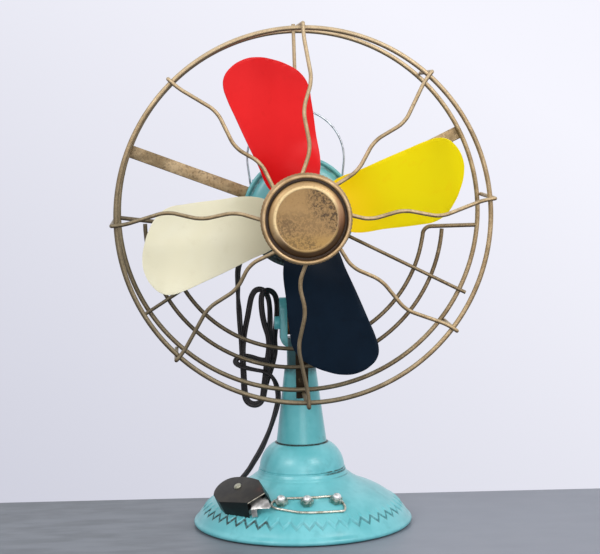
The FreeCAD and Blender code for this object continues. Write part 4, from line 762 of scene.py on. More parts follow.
def old_brass(name, mottle=0.5, dark=0.0, metal=0.45):
    """Aged brass plate: pale warm tone and brown stain in clouds, with a painted highlight on what faces up and
    on the upper wires, and painted shade on what faces down and towards the lower left.
    """
    plate = Finish(name, metal=metal, shine=metal)
    facing = node_in(plate.tree, "ShaderNodeSeparateXYZ")
    coords = node_in(plate.tree, "ShaderNodeTexCoord")
    plate.join(coords.outputs["Normal"], facing.inputs[0])
    # painted shade on what faces down, and painted highlight on what faces up, read from the normal
    under = plate.step(facing.outputs["Z"], 0.10, -0.70)
    over = plate.step(facing.outputs["Z"], 0.20, 0.90)
    cloudy = plate.step(plate.cloud(14, 5), 0.42, 0.68)
    fine = plate.step(plate.cloud(1.6, 4, shift=(2, 5, 1)), 0.48, 0.70)
    tone = plate.stain(plate.step(plate.cloud(6, 3, shift=(4, 0, 3)), 0.36, 0.66), written(198, 172, 132),
                       written(176, 148, 108))
    tone = plate.stain(plate.both(over, 0.55), tone, written(222, 206, 170))
    tone = plate.stain(plate.both(cloudy, mottle), tone, written(128, 106, 72))
    tone = plate.stain(plate.both(fine, mottle * 0.8), tone, written(96, 78, 52))
    height = plate.sum("SUBTRACT", plate.at("Z"), axis_height / 1000)
    # painted highlight: the wires high above the axis lighter
    high = plate.both(plate.step(height, 0.05, 0.115), 0.4)
    tone = plate.stain(high, tone, written(222, 200, 164))
    # painted shade: the wires towards the lower left darker and greyer
    low_left = plate.step(plate.sum("SUBTRACT", plate.both(plate.at("X"), -0.8), height), 0.000, 0.120)
    tone = plate.stain(plate.both(low_left, 0.68), tone, written(84, 82, 68))
    tone = plate.stain(plate.both(under, 0.76), tone, written(70, 54, 38))
    if dark:
        # painted shade with dark grime, in clouds by the share dark, for the shaded copies
        grime_and_shade = plate.step(plate.cloud(9, 4, shift=(3, 3, 3)), 0.22, 0.38)
        tone = plate.stain(plate.both(grime_and_shade, dark), tone, written(38, 28, 14))
    return plate.lay(tone, plate.between(plate.cloud(3), 0.36, 0.58), plate.cloud(0.8, 4), 0.03)


guard_brass = old_brass("guard_brass")
# painted shade: a darker, more mottled copy of the guard brass for most wires behind the blades
shaded_rear_brass = old_brass("shaded_rear_brass", 0.7, 0.42)


def wire_section(radius, at_radius, at_height, sides):
    turns = [math.tau * k / sides for k in range(sides)]
    return [(at_radius + radius * math.cos(a), at_height + radius * math.sin(a)) for a in turns]


for name, forward in ring_forward.items():
    round_wire = wire_section(ring_wire, ring_radius, forward, 14)
    hoop = turned(name + "_hoop", round_wire, 256, on_fan(), 80, closed=True)
    fitted(hoop, "head", "antique_brass", guard_brass, name + "_ring")


def wire(name, points, radius, sides=2, stand=None):
    """Traces the wire's line, rounds its bends, thickens it and closes its ends."""
    traced(name, points)
    bpy.ops.object.mode_set(mode="OBJECT")
    bpy.ops.object.convert(target="CURVE")
    line = bpy.context.object
    line.data.bevel_depth, line.data.bevel_resolution, line.data.use_fill_caps = radius / 1000, sides, True
    bpy.ops.object.convert(target="MESH")
    piece = bpy.context.object
    piece.name = piece.data.name = name
    if stand is not None:
        piece.data.transform(stand)
    bpy.ops.object.shade_smooth_by_angle(angle=math.radians(60))
    return piece


spoke_wire = 1.4
spoke_start, spoke_end = 26.3, 124.2
hub_forward, rim_forward = 98.4 - spoke_wire, 80.0 + ring_wire + spoke_wire
spoke_bends = (  # the angle that each ends at, and the (distance, sideways bow) of its start and three bends
    (89.5, (26.3, -3.7), (46.7, 3.7), (72.9, -1.0), (92.8, 5.4)),
    (47.7, (26.3, -0.9), (47.2, 5.4), (69.6, 0.5), (93.0, 8.4)),
    (4.4, (26.3, -0.9), (43.0, 5.2), (67.0, 1.0), (92.2, 8.5)),
    (-37.9, (26.3, 0.8), (44.9, 7.9), (66.7, 2.9), (93.1, 9.4)),
    (-89.7, (26.3, -0.8), (44.0, 5.8), (63.6, 1.3), (88.4, 7.0)),
    (-133.1, (26.3, -1.3), (48.2, 7.6), (66.8, 2.3), (89.7, 8.4)),
    (-178.7, (26.3, -0.8), (47.6, 6.4), (70.4, 2.2), (93.4, 8.4)),
    (133.5, (26.3, -2.5), (48.0, 4.9), (67.2, -0.6), (93.2, 8.1)))
for k, (angle, *bends) in enumerate(spoke_bends):
    line = []
    for radius, bow in bends + [(spoke_end, 0)]:
        share = (radius - spoke_start) / (spoke_end - spoke_start)
        forward = hub_forward + (rim_forward - hub_forward) * share
        line.append((radius, -bow, forward, 0 if radius < 30 else 6.0))
    line += [(131.3, 0, rim_forward, 2.2), (131.3, 0, 21.3)]
    spoke = wire("waved_wire_%d" % (k + 1), line, spoke_wire, 3, on_fan(angle))
    fitted(spoke, "head", "antique_brass", guard_brass, "front_spoke_%d" % (k + 1))

strip_start = 34.35
strip_places = {"left": (159.0, 128.2), "right": (25.4, 128.2), "bottom": (270.0, 134.9)}
# the bottom strip is darkest and dullest: painted shade under the head with dark grime
strip_brass = {"left": old_brass("strip_brass_left", 0.8), "right": old_brass("strip_brass_right", 0.7),
               "bottom": old_brass("strip_brass_bottom", 1.0, 0.98, 0.12)}
for name, (angle, end) in strip_places.items():
    put_down_tools()
    bpy.ops.mesh.primitive_cube_add(size=1, location=(0, 0, 0))
    strip = bpy.context.object
    strip.name = strip.data.name = "flat_strip_" + name
    strip.data.transform(Matrix.Translation(((strip_start + end) / 2000, 0, 0.02055)) @
                         Matrix.Diagonal(((end - strip_start) / 1000, 0.009, 0.0015, 1)))
    bpy.ops.object.mode_set(mode="EDIT")
    bpy.ops.mesh.select_all(action="SELECT")
    bpy.ops.mesh.bevel(offset=0.00045, segments=3)
    bpy.ops.object.mode_set(mode="OBJECT")
    strip.data.transform(on_fan(angle))
    bpy.ops.object.shade_smooth_by_angle(angle=math.radians(35))
    fitted(strip, "head", "antique_brass", strip_brass[name], "guard_strip_" + name)

for name, angle in (("top", 90.9), ("left", 212.2), ("right", -27.0)):
    plain = wire("plain_wire_" + name, [(37.6, 0, 26.0), (132.9, 0, 26.0)], 1.3, 3, on_fan(angle))
    fitted(plain, "head", "antique_brass", guard_brass if name == "top" else shaded_rear_brass, "rear_wire_" + name)

hoop_middle, hoop_forward = (-3.4, -5.6), 23.0
inner_hoop, outer_hoop, hoop_wire = 92.8, 106.2, 1.5
hoop_turn = -2.2
leg_level = -8.6


def hoop_spot(radius, angle_deg):
    a = math.radians(angle_deg)
    return (hoop_middle[0] + radius * math.cos(a), hoop_middle[1] + radius * math.sin(a), hoop_forward)


corner = 6.0
fillet_y = leg_level - corner
reach = math.sqrt((inner_hoop + corner) ** 2 - (fillet_y - hoop_middle[1]) ** 2)
touch_angle = math.degrees(math.atan2(fillet_y - hoop_middle[1], reach))
ring_inside = math.sqrt((ring_radius - ring_wire) ** 2 - leg_level ** 2) + 0.6
inner_sweep = 180 + 2 * touch_angle


def hoop_corner(side, step):
    """Spot on the bend where the inner hoop turns out to its leg, on the left (-1) or right (1)."""
    a = math.radians(90 + (-90 + touch_angle) * step / 6)
    return (hoop_middle[0] + side * (reach - corner * math.cos(a)), fillet_y + corner * math.sin(a),
            hoop_forward)


inner_line = [(-ring_inside, leg_level + 2.4, hoop_forward)] + [hoop_corner(-1, k) for k in range(7)]
inner_line += [hoop_spot(inner_hoop, 180 - touch_angle + inner_sweep * k / 60) for k in range(1, 60)]
inner_line += [hoop_corner(1, k) for k in range(6, -1, -1)] + [(ring_inside, leg_level + 1.5, hoop_forward)]
half_hoop = wire("half_hoop_inner", inner_line, hoop_wire, 3, on_fan(hoop_turn))
fitted(half_hoop, "head", "antique_brass", shaded_rear_brass, "inner_arc")
outer_top = math.degrees(math.asin(-(3.0 + hoop_wire + 0.08) / outer_hoop))
outer_line = [hoop_spot(outer_hoop, 180 - outer_top + (180 + 2 * outer_top) * k / 70) for k in range(71)]
half_hoop = wire("half_hoop_outer", outer_line, hoop_wire, 3, on_fan(hoop_turn))
fitted(half_hoop, "head", "antique_brass", shaded_rear_brass, "outer_arc")


# ---- Badge in the middle of the guard ----
# A spun brass dish with a rolled bead, crimped flange at the back and a pressed cap in it. The cap has a
# painted highlight on its upper shoulder, painted shade on its lower shoulder and a mottled brown flat face.
# It is bare, with no lettering.
bead_middle, bead_wire, bead_forward = 28.95, 1.15, 104.25
crimps, crimp_depth = 72, 0.011
cup_outline = [(9.0, 98.4), (30.6, 98.4), (31.3, 98.7), (31.3, 99.4), (30.4, 99.9), (29.2, 100.4),
               (28.9, 101.2), (29.0, 102.5), (29.5, 103.2)]
cup_outline += [(bead_middle + bead_wire * math.cos(a), bead_forward + bead_wire * math.sin(a))
                for a in [math.radians(d) for d in range(-40, 221, 20)]]
cup_outline += [(27.7, 102.6), (27.6, 100.0), (9.0, 100.0), (9.0, 98.4)]
badge_dish = turned("badge_dish", cup_outline, 216, on_fan())
for v in badge_dish.data.vertices:
    off = Vector((v.co.x, v.co.z - axis_height / 1000))
    if off.length > 0.0301 and v.co.y > -0.1002:
        notch = 1 - crimp_depth * (0.5 + 0.5 * math.cos(math.atan2(off.y, off.x) * crimps))
        v.co.x, v.co.z = off.x * notch, off.y * notch + axis_height / 1000
badge_dish.data.update()


def badge_brass(name, face):
    """Aged brass with brown patina and painted shade in the groove, a painted highlight on the upper shoulder,
    painted shade low on the shoulder, and a mottled flat face.
    """
    plate = Finish(name, metal=0.42, shine=0.5)
    height, off_axis = round_axis(plate)
    tone = plate.stain(plate.step(plate.cloud(9, 3), 0.36, 0.66), written(212, 180, 136),
                       written(190, 156, 110))
    if face:
        slant = plate.sum("ADD", height, plate.both(plate.at("X"), -0.35))
        # painted highlight: the upper left of the shoulder lighter, with a bright crest
        shoulder = plate.step(off_axis, 0.0207, 0.0214)
        tone = plate.stain(plate.both(shoulder, plate.step(slant, -0.004, 0.010)), tone, written(186, 152, 104))
        crest = plate.both(plate.band(off_axis, 0.0217, 0.0004, 0.0012), plate.step(slant, -0.009, 0.004))
        tone = plate.stain(plate.both(crest, 0.85), tone, written(236, 208, 154))
        # painted shade: the lower part of the shoulder dark brown
        tone = plate.stain(plate.both(shoulder, plate.both(plate.step(slant, 0.006, -0.015), 0.95)), tone,
                           written(66, 42, 16))
        red_side = plate.both(plate.step(plate.at("X"), 0.017, 0.022), plate.step(height, -0.014, 0.002))
        tone = plate.stain(plate.both(plate.both(shoulder, red_side), 0.55), tone, written(150, 96, 64))
        # painted highlight: a lighter line along the lower crest
        lower_crest = plate.both(plate.band(off_axis, 0.0213, 0.0003, 0.0008),
                                 plate.step(slant, -0.010, -0.016))
        tone = plate.stain(plate.both(lower_crest, 0.6), tone, written(168, 136, 78))
        flat_face = plate.step(off_axis, 0.0211, 0.0203)
        tone = plate.stain(plate.both(flat_face, 0.92), tone, written(152, 118, 70))
        tone = plate.stain(plate.both(flat_face, plate.both(plate.step(height, -0.006, -0.017), 0.8)), tone,
                           written(166, 130, 68))
        upper_right = plate.both(plate.step(plate.sum("ADD", height, plate.at("X")), 0.003, 0.014),
                                 plate.step(plate.at("X"), -0.003, 0.006))
        lower_left = plate.both(plate.step(plate.sum("ADD", height, plate.at("X")), -0.004, -0.014),
                                plate.step(height, 0.006, -0.002))
        middle = plate.both(plate.band(height, -0.003, 0.005, 0.006), 0.45)
        patches = plate.sum("MAXIMUM", plate.sum("MAXIMUM", upper_right, plate.both(lower_left, 0.6)),
                            plate.both(middle, 0.7))
        patches = plate.both(patches, plate.step(plate.cloud(7, 3, shift=(1, 2, 5)), 0.24, 0.46))
        mottle = plate.step(plate.cloud(1.5, 6, lumps=0.7), 0.44, 0.56)
        patched = plate.both(plate.sum("ADD", patches, 0.06), flat_face)
        tone = plate.stain(plate.both(patched, plate.both(mottle, 0.86)), tone, written(56, 38, 20))
        tone = plate.stain(plate.both(plate.both(patches, flat_face), 0.22), tone, written(74, 54, 30))
    # brown patina with painted shade in the groove between the bead and the cap
    groove = plate.both(plate.band(off_axis, 0.02670, 0.0008, 0.0006),
                        plate.step(plate.at("Y"), -0.1050, -0.1040))
    tone = plate.stain(plate.both(groove, 0.96), tone, written(40, 18, 4))
    # painted shade: the inside of the bead darker towards the bottom
    inside = plate.both(plate.band(off_axis, 0.0277, 0.0002, 0.0004), plate.step(height, 0.006, -0.006))
    tone = plate.stain(plate.both(inside, 0.6), tone, written(96, 64, 34))
    rim_side = plate.both(plate.step(off_axis, 0.0289, 0.0296), plate.step(plate.at("Y"), -0.1052, -0.1040))
    tone = plate.stain(plate.both(rim_side, 0.6), tone, written(96, 72, 42))
    fine = plate.step(plate.cloud(1.4, 4, shift=(2, 5, 1)), 0.54, 0.74)
    tone = plate.stain(plate.both(fine, 0.35), tone, written(98, 72, 40))
    return plate.lay(tone, plate.between(plate.cloud(2.2), 0.34, 0.52), plate.cloud(0.7, 5), 0.03)


fitted(badge_dish, "head", "antique_brass", badge_brass("dish_brass", False), "badge_cup")
cap_outline = [(0, 98.5), (9.0, 98.5), (9.0, 100.0), (25.8, 100.0), (25.95, 100.6), (25.95, 103.0)]
cap_outline += swept([(25.95, 103.0), (25.6, 104.6), (23.6, 106.0), (21.6, 106.15)], 12)[1:]
cap_outline += [(21.1, 106.1), (20.7, 105.98), (20.3, 105.95), (12.0, 105.9), (0, 105.88)]
badge_face = turned("badge_face", cap_outline, 144, on_fan(), 50)
fitted(badge_face, "head", "antique_brass", badge_brass("face_brass", True), "badge_cap")


# ---- Bail ----
# A thin steel wire loop whose ends are sprung into the two lugs on top of the housing.
lug_height, lug_side, bail_behind = 248.5, 33.3, 8.0
bail_line = [(-29.5, lug_height), (-lug_side, lug_height)]
loop_middle, loop_radius = 267.5, 35.3
drop = lug_height - loop_middle
lean = math.atan2(drop, lug_side) + math.acos(loop_radius / math.hypot(lug_side, drop))
for k in range(61):
    a = math.pi - lean + (2 * lean - math.pi) * k / 60
    bail_line.append((loop_radius * math.cos(a), loop_middle + loop_radius * math.sin(a)))
bail_line += [(lug_side, lug_height), (29.5, lug_height)]
bail_points = [(x, bail_behind, z, 1.1 if k in (1, len(bail_line) - 2) else 0)
               for k, (x, z) in enumerate(bail_line)]
bail = wire("bail_loop", bail_points, 0.75, 2)
fitted(bail, "bail", "plain_steel", bright_metal("bail_steel", (206, 210, 214), (164, 168, 172)), "bail_handle")


# ---- Rotor ----
# Four enamelled sheet paddles, twisted towards their tips, riveted to a round plate on a turned boss. A
# steel spindle carries it in two brass bushes, and an acorn nut holds it in front.
rotor_steel = bright_metal("rotor_steel", (186, 186, 184), (136, 134, 130))
for name, node in (("shaft", "spindle"), ("shaft_collars", "spindle_collars"), ("hub", "blade_hub"),
                   ("hub_rivets", "blade_rivets"), ("hub_nut", "acorn_nut")):
    fitted(smoothed_copy(name, node, 0.25, 2), "rotor", "plain_steel", rotor_steel, node)

tip = 116.5
paddle_edge = [(12, 8), (26, 17.0), (44, 19.8), (62, 22.8), (80, 25.4), (tip - 22.5, 27.3), (tip - 14.5, 27.4),
               (tip - 8.5, 25.3), (tip - 3.5, 19.8), (tip, 8.5), (tip - 1.2, -1.5), (tip - 5.5, -11.0),
               (tip - 12.5, -20.8), (tip - 20.5, -27.6), (tip - 29.5, -30.3), (tip - 39.5, -29.4), (56, -26.2),
               (26, -20.2), (12, -8)]


def enamel(name, colour, shade_off, light_off, shade_near_hub):
    """Spray enamel: a faint cloud in its tone, a fine orange peel, and painted shade towards the hub."""
    coat = Finish(name, coat=0.04, coat_rough=0.25, shine=0.14)
    tone = coat.stain(coat.step(coat.cloud(30, 3), 0.35, 0.68), written(*colour), written(*light_off))
    tone = coat.stain(coat.both(coat.step(coat.cloud(9, 5, shift=(5, 2, 1)), 0.55, 0.75), 0.5), tone,
                      written(*shade_off))
    off_axis = round_axis(coat)[1]
    # painted shade: the enamel darker towards the hub
    tone = coat.stain(coat.both(coat.step(off_axis, 0.072, 0.028), 0.8), tone, written(*shade_near_hub))
    return coat.lay(tone, coat.between(coat.cloud(5), 0.34, 0.46), coat.cloud(1.3, 3), 0.02)


def paddle(name, angle, longer, material, node, slot_name):
    """One paddle, cut flat, twisted towards its tip and set on the hub at its angle, so much further out."""
    put_down_tools()
    rim = bpy.data.curves.new(name, "CURVE")
    rim.dimensions = "3D"
    rim.resolution_u = 7
    bow = rim.splines.new("BEZIER")
    bow.bezier_points.add(len(paddle_edge) - 1)
    for spot, (r, w) in zip(bow.bezier_points, paddle_edge):
        spot.co = (r / 1000, w / 1000, 0)
        spot.handle_left_type = spot.handle_right_type = "AUTO"
    piece = bpy.data.objects.new(name, rim)
    scene.collection.objects.link(piece)
    piece.select_set(True)
    bpy.context.view_layer.objects.active = piece
    bpy.ops.object.convert(target="MESH")
    piece = bpy.context.object
    bpy.ops.object.mode_set(mode="EDIT")
    bpy.ops.mesh.select_all(action="SELECT")
    bpy.ops.mesh.edge_face_add()
    for cut in [16 + 3.5 * k for k in range(29)]:
        bpy.ops.mesh.select_all(action="SELECT")
        bpy.ops.mesh.bisect(plane_co=(cut / 1000, 0, 0), plane_no=(1, 0, 0))
    for cut in range(-30, 31, 5):
        bpy.ops.mesh.select_all(action="SELECT")
        bpy.ops.mesh.bisect(plane_co=(0, cut / 1000, 0), plane_no=(0, 1, 0))
    bpy.ops.mesh.select_all(action="SELECT")
    bpy.ops.mesh.normals_make_consistent(inside=False)
    bpy.ops.object.mode_set(mode="OBJECT")
    if piece.data.polygons[0].normal.z < 0:
        piece.data.flip_normals()
    for v in piece.data.vertices:
        share = max(0.0, min(1.0, (v.co.x * 1000 - 25.0) / (tip * 0.45 - 25.0)))
        v.co.z = v.co.y * math.tan(math.radians(17.0) * share * share * (3 - 2 * share)) + 0.051
    sheet = piece.modifiers.new("sheet", "SOLIDIFY")
    sheet.thickness, sheet.offset = 0.0009, 1.0
    bpy.ops.object.modifier_apply(modifier="sheet")
    edges = piece.modifiers.new("edges", "BEVEL")
    edges.width, edges.segments, edges.angle_limit = 0.0003, 2, math.radians(50)
    bpy.ops.object.modifier_apply(modifier="edges")
    piece.data.transform(on_fan(angle) @ Matrix.Translation((longer / 1000, 0, 0)))
    bpy.ops.object.shade_smooth_by_angle(angle=math.radians(35))
    return fitted(piece, "rotor", slot_name, material, node)


for name, angle, longer, colour, dark, light, shade_near_hub in (
        ("yellow", 14.0, 2.2, (255, 230, 0), (254, 220, 0), (255, 233, 4), (255, 208, 0)),
        ("red", 105.5, -2.0, (232, 20, 24), (222, 14, 18), (236, 26, 28), (218, 10, 16)),
        ("cream", 195.2, 0.0, (236, 230, 200), (228, 221, 190), (239, 234, 207), (206, 199, 168)),
        ("navy", 284.1, 1.6, (5, 22, 37), (3, 15, 28), (8, 27, 43), (4, 18, 31))):
    coat = enamel(name + "_enamel", colour, dark, light, shade_near_hub)
    paddle(name + "_paddle", angle, longer, coat, name + "_blade", name + "_enamel")


# ---- Switch on the skirt ----
# A folded black tin cover over a steel plate, with a pivot pin through its top. A plated lever comes out of its
# mouth towards three studs with nuts, and a plated wire loop runs round them. It carries no current.
switch_turn, switch_slope = math.radians(-140.0), math.radians(34.0)
outward = Vector((math.cos(switch_turn), math.sin(switch_turn), 0))
switch_normal = outward * math.sin(switch_slope) + Vector((0, 0, math.cos(switch_slope)))
switch_up = outward * -math.cos(switch_slope) + Vector((0, 0, math.sin(switch_slope)))
switch_side = switch_up.cross(switch_normal)
switch_foot = outward * 62.0 + Vector((0, 0, skirt_spot(62.0)[0]))
on_switch = Matrix.Translation(switch_foot / 1000) @ \
    Matrix((switch_side, switch_up, switch_normal)).transposed().to_4x4()
mouth_top, mouth_bottom, cover_height = (23.2, 10.0), (16.6, -3.2), 11.5


def arc_through(a, b, c, count):
    """Spots on the circle through three points, from the first to the last."""
    (ax, ay), (bx, by), (cx, cy) = a, b, c
    d = 2 * (ax * (by - cy) + bx * (cy - ay) + cx * (ay - by))
    a2, b2, c2 = ax ** 2 + ay ** 2, bx ** 2 + by ** 2, cx ** 2 + cy ** 2
    ux = (a2 * (by - cy) + b2 * (cy - ay) + c2 * (ay - by)) / d
    uy = (a2 * (cx - bx) + b2 * (ax - cx) + c2 * (bx - ax)) / d
    radius = math.hypot(ax - ux, ay - uy)
    start, end = math.atan2(ay - uy, ax - ux), math.atan2(cy - uy, cx - ux)
    turn = (end - start) % -math.tau
    return [(ux + radius * math.cos(start + turn * k / count), uy + radius * math.sin(start + turn * k / count))
            for k in range(count + 1)]


foot_plan = arc_through((-17.0, -5.0), (-21.4, 6.0), (-12.0, 17.6), 12)
foot_plan += arc_through((-12.0, 17.6), (0.0, 20.2), (12.4, 18.2), 10)[1:]
foot_top, foot_bottom = (21.5, 11.7), (15.8, -7.2)
foot_plan += [foot_top, foot_bottom, (-7.0, -9.2)]
plan = arc_through((-15.8, -4.6), (-19.2, 5.2), (-11.6, 15.6), 12)
plan += arc_through((-11.6, 15.6), (-1.0, 18.5), (10.6, 18.5), 10)[1:]
plan += [mouth_top, mouth_bottom, (-6.2, -9.0)]


def cover_top(side):
    """Height of the cover's top, which falls a little towards the mouth."""
    return cover_height - 0.072 * side


cover = traced("cover", [(side, up, cover_top(side)) for side, up in plan], closed=True)
bpy.ops.mesh.edge_face_add()
bpy.ops.mesh.extrude_region_move(TRANSFORM_OT_translate={"value": (0, 0, -0.0014)})
bpy.ops.mesh.extrude_region_move(TRANSFORM_OT_translate={"value": (0, 0, -0.0126)})
bpy.ops.mesh.delete(type="ONLY_FACE")
bpy.ops.object.mode_set(mode="OBJECT")
for v in cover.data.vertices:
    if v.co.z < 0.002:  # the foot of the wall stands wider than the top and follows the skirt
        k = min(range(len(plan)), key=lambda k: (v.co.xy - Vector(plan[k]) / 1000).length)
        v.co.xy = Vector(foot_plan[k]) / 1000
        low, high = -14.0, 11.0
        for _ in range(30):
            middle = (low + high) / 2
            spot = on_switch @ Vector((v.co.x, v.co.y, middle / 1000)) * 1000
            if spot.z < skirt_spot(min(78.0, math.hypot(spot.x, spot.y)))[0]:
                low = middle
            else:
                high = middle
        v.co.z = (low - 0.1) / 1000
bpy.ops.object.mode_set(mode="EDIT")
mouth_corners = (mouth_top, mouth_bottom, foot_top, foot_bottom)
choose(lambda co: co.z < (cover_top(co.x * 1000) - 1.0) / 1000 and
       min((co.xy - Vector(p) / 1000).length for p in mouth_corners) < 1e-5)
bpy.context.tool_settings.mesh_select_mode = (False, False, True)
bpy.ops.mesh.delete(type="FACE")
bpy.ops.mesh.select_all(action="SELECT")
bpy.ops.mesh.normals_make_consistent(inside=False)
bpy.ops.object.mode_set(mode="OBJECT")
tin = cover.modifiers.new("tin", "SOLIDIFY")
tin.thickness, tin.offset, tin.use_even_offset = 0.0008, -1.0, True
bpy.ops.object.modifier_apply(modifier="tin")
folds = cover.modifiers.new("folds", "BEVEL")
folds.width, folds.segments, folds.angle_limit = 0.0004, 3, math.radians(28)
bpy.ops.object.modifier_apply(modifier="folds")
cover.data.transform(on_switch)
bpy.ops.object.shade_smooth_by_angle(angle=math.radians(30))
black = Finish("black_tin", coat=0.15, coat_rough=0.3, shine=0.4)
facing = node_in(black.tree, "ShaderNodeVectorMath", operation="DOT_PRODUCT")
black.join(node_in(black.tree, "ShaderNodeTexCoord").outputs["Normal"], facing.inputs[0])
facing.inputs[1].default_value = switch_normal
tone = black.stain(black.step(black.cloud(10, 4), 0.38, 0.66), written(32, 29, 23), written(46, 42, 33))
# painted shade: the walls, which face away from the top, nearly black
tone = black.stain(black.step(facing.outputs["Value"], 0.85, 0.5), tone, written(13, 15, 13))
rusty = black.both(black.step(black.cloud(7, 4, shift=(2, 2, 2)), 0.46, 0.66),
                   black.step(black.at("X"), -0.040, -0.030))
tone = black.stain(black.both(rusty, 0.5), tone, written(96, 52, 40))
tone = black.stain(black.both(black.step(black.cloud(1.0, 3), 0.64, 0.76), 0.4), tone, written(30, 28, 24))
worn_tin = black.lay(tone, black.between(black.cloud(3), 0.38, 0.58), black.cloud(0.8), 0.05)
fitted(cover, "stand", "black_tin", worn_tin, "switch_cover")
worn_edge = bright_metal("worn_edge", (188, 182, 166), (130, 122, 106), metal=0.6)
lip_ends = [Vector((x + 0.25, y, cover_top(x) - 1.05)) for x, y in (mouth_top, mouth_bottom)]
lip_line = [tuple(lip_ends[0] * share + lip_ends[1] * (1 - share)) for share in (0.97, 0.03)]
lip = wire("mouth_lip", lip_line, 0.42, 2, on_switch)
fitted(lip, "stand", "black_tin", worn_edge)
dress("switch_plate", plain_steel)
pin = smoothed_copy("pin", "switch_pivot", 0.2, 3)
pin.data.transform(Matrix.Translation(switch_normal * 0.0001 - switch_up * 0.0014))
pin_plate = bright_metal("pin_plate", (188, 186, 166), (140, 138, 118), metal=0.6)
fitted(pin, "stand", "bright_steel", pin_plate, "switch_pivot")

pivot = (-2.2, 9.4, 5.4)
aim = Vector((20.2 - pivot[0], 2.6 - pivot[1], 0)).normalized()
lever_frame = Matrix.Translation(Vector(pivot) / 1000) @ \
    Matrix((aim, Vector((-aim.y, aim.x, 0)), Vector((0, 0, 1)))).transposed().to_4x4()
arm, arm_end, eye_radius, arm_level = 4.5, 21.8, 5.5, 0.8
lever_plan = [(eye_radius * math.cos(a), eye_radius * math.sin(a), arm_level)
              for a in [math.radians(d) for d in range(120, 241, 15)]]
lever_plan += [(6, -arm, arm_level), (arm_end, -arm, arm_level), (arm_end, arm, arm_level), (6, arm, arm_level)]
lever = traced("lever", lever_plan, closed=True)
bpy.ops.mesh.edge_face_add()


def drawn_on(start, end):
    """Draws the sheet on from the edge between two spots to the edge between two others, in mm."""
    choose(lambda co: min((co - Vector(p) / 1000).length for p in start) < 1e-6)
    bpy.ops.mesh.extrude_region_move(TRANSFORM_OT_translate={"value": (0, 0, 0.0001)})
    shape = bmesh.from_edit_mesh(bpy.context.object.data)
    near, far = sorted((v for v in shape.verts if v.select), key=lambda v: v.co.y)
    near.co, far.co = Vector(end[0]) / 1000, Vector(end[1]) / 1000
    bmesh.update_edit_mesh(bpy.context.object.data)
    return end


arm_edge = ((arm_end, -arm, arm_level), (arm_end, arm, arm_level))
shown = drawn_on(arm_edge, ((24.0, -6.9, -0.6), (24.4, 4.3, 0.3)))
front = drawn_on(shown, ((26.0, -3.6, -1.8), (27.3, 6.6, -0.5)))
drawn_on(front, ((33.6, 2.6, -2.8), (33.0, 4.6, -2.5)))
drawn_on((shown[0], front[0]), ((24.2, -9.2, -6.4), (27.4, -6.2, -6.4)))
bpy.ops.mesh.select_all(action="SELECT")
bpy.ops.mesh.normals_make_consistent(inside=False)
bpy.ops.object.mode_set(mode="OBJECT")
if max(lever.data.polygons, key=lambda f: f.area).normal.z < 0:
    lever.data.flip_normals()
sheet = lever.modifiers.new("sheet", "SOLIDIFY")
sheet.thickness, sheet.offset = 0.0008, -1.0
bpy.ops.object.modifier_apply(modifier="sheet")
edges = lever.modifiers.new("edges", "BEVEL")
edges.width, edges.segments, edges.angle_limit = 0.00025, 2, math.radians(40)
bpy.ops.object.modifier_apply(modifier="edges")
lever.data.transform(on_switch @ lever_frame)
bpy.ops.object.shade_smooth_by_angle(angle=math.radians(35))
lever_plate = Finish("lever_plate", metal=0.75)
tone = lever_plate.stain(lever_plate.step(lever_plate.cloud(7, 2), 0.36, 0.62), written(216, 214, 210),
                         written(150, 148, 144))
lever_rough = lever_plate.between(lever_plate.cloud(3), 0.26, 0.40)
lever_metal = lever_plate.lay(tone, lever_rough, lever_plate.cloud(2.0), 0.01)
fitted(lever, "lever", "bright_steel", lever_metal, "switch_lever")

nut_finish = Finish("nut_plate", metal=0.7)
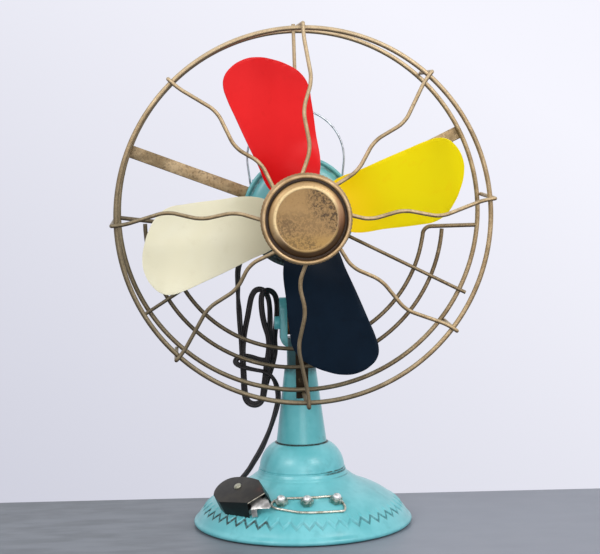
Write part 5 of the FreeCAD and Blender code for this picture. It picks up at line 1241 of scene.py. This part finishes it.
# turquoise-tinged plating: partly turquoise paint on the nuts, partly a painted reflection of the skirt
tone = nut_finish.stain(nut_finish.step(nut_finish.cloud(3, 5), 0.36, 0.60), written(190, 202, 192),
                        written(92, 142, 132))
tone = nut_finish.stain(nut_finish.both(nut_finish.step(nut_finish.cloud(1.2, 4), 0.55, 0.7), 0.6), tone,
                        written(84, 76, 58))
nut_rough = nut_finish.between(nut_finish.cloud(2), 0.25, 0.45)
nut_metal = nut_finish.lay(tone, nut_rough, nut_finish.cloud(0.8), 0.03)
nuts = smoothed_copy("stud_nuts", "contact_nuts", 0.3, 2)
nut_growth = 0.2  # the nuts stand a fifth wider over their flats than the plain solids
stud_feet = [on_skirt(55.3, angle) for angle in (-108.9, -90.3, -68.3)]
for v in nuts.data.vertices:
    foot, up = min(stud_feet, key=lambda f: (v.co * 1000 - f[0]).length)
    off = v.co * 1000 - foot
    v.co += (off - up * off.dot(up)) * nut_growth / 1000
fitted(nuts, "stand", "bright_steel", nut_metal, "contact_nuts")
studs = smoothed_copy("studs", "contact_screws", 0.2, 2, 60)
dome_line = [(0, 2.7), (2.5, 2.7), (2.6, 3.9), (3.0, 4.3), (3.1, 5.0, 0.3), (2.7, 5.9), (1.7, 6.6), (0.8, 6.85),
             (0, 6.9)]
domes = [turned("stud_dome", dome_line, 40, stand_on(*foot), 60) for foot in stud_feet]
put_down_tools()
for piece in domes + [studs]:
    piece.select_set(True)
bpy.context.view_layer.objects.active = studs
bpy.ops.object.join()
white_metal = bright_metal("white_metal", (240, 240, 238), (206, 206, 202), metal=0.55, rough=(0.16, 0.28))
fitted(studs, "stand", "bright_steel", white_metal, "contact_screws")

rail_lift, leg_depth, leg_radius = 1.15, -2.0, 49.9
rail_spots = ((50.0, -70.6), (53.2, -64.3), (62.0, -64.5), (64.7, -67.0), (64.1, -78.5), (63.9, -87.7),
              (63.5, -96.0), (61.9, -104.4), (60.6, -112.6), (58.2, -116.3), (54.6, -115.8), (51.4, -112.0),
              (50.4, -103.5), (50.0, -93.6))
rail_line = [on_skirt(leg_radius, -81.0, leg_depth)[0], on_skirt(leg_radius, -81.0, rail_lift)[0]]
rail_line += [on_skirt(r, a, rail_lift)[0] for r, a in rail_spots]
rail_line += [on_skirt(leg_radius, -82.0, rail_lift)[0], on_skirt(leg_radius, -82.0, leg_depth)[0]]
rail_points = [tuple(p) + ((0.3 if k in (1, len(rail_line) - 2) else 1.2 if k == 5 else 2.2),)
               for k, p in enumerate(rail_line)]
rail_points[0], rail_points[-1] = rail_points[0][:3], rail_points[-1][:3]
rail = wire("rail", rail_points, 0.88, 3)
rail_metal = bright_metal("rail_plate", (224, 220, 206), (168, 160, 140), metal=0.7, rough=(0.2, 0.38))
fitted(rail, "stand", "bright_steel", rail_metal, "contact_rail")
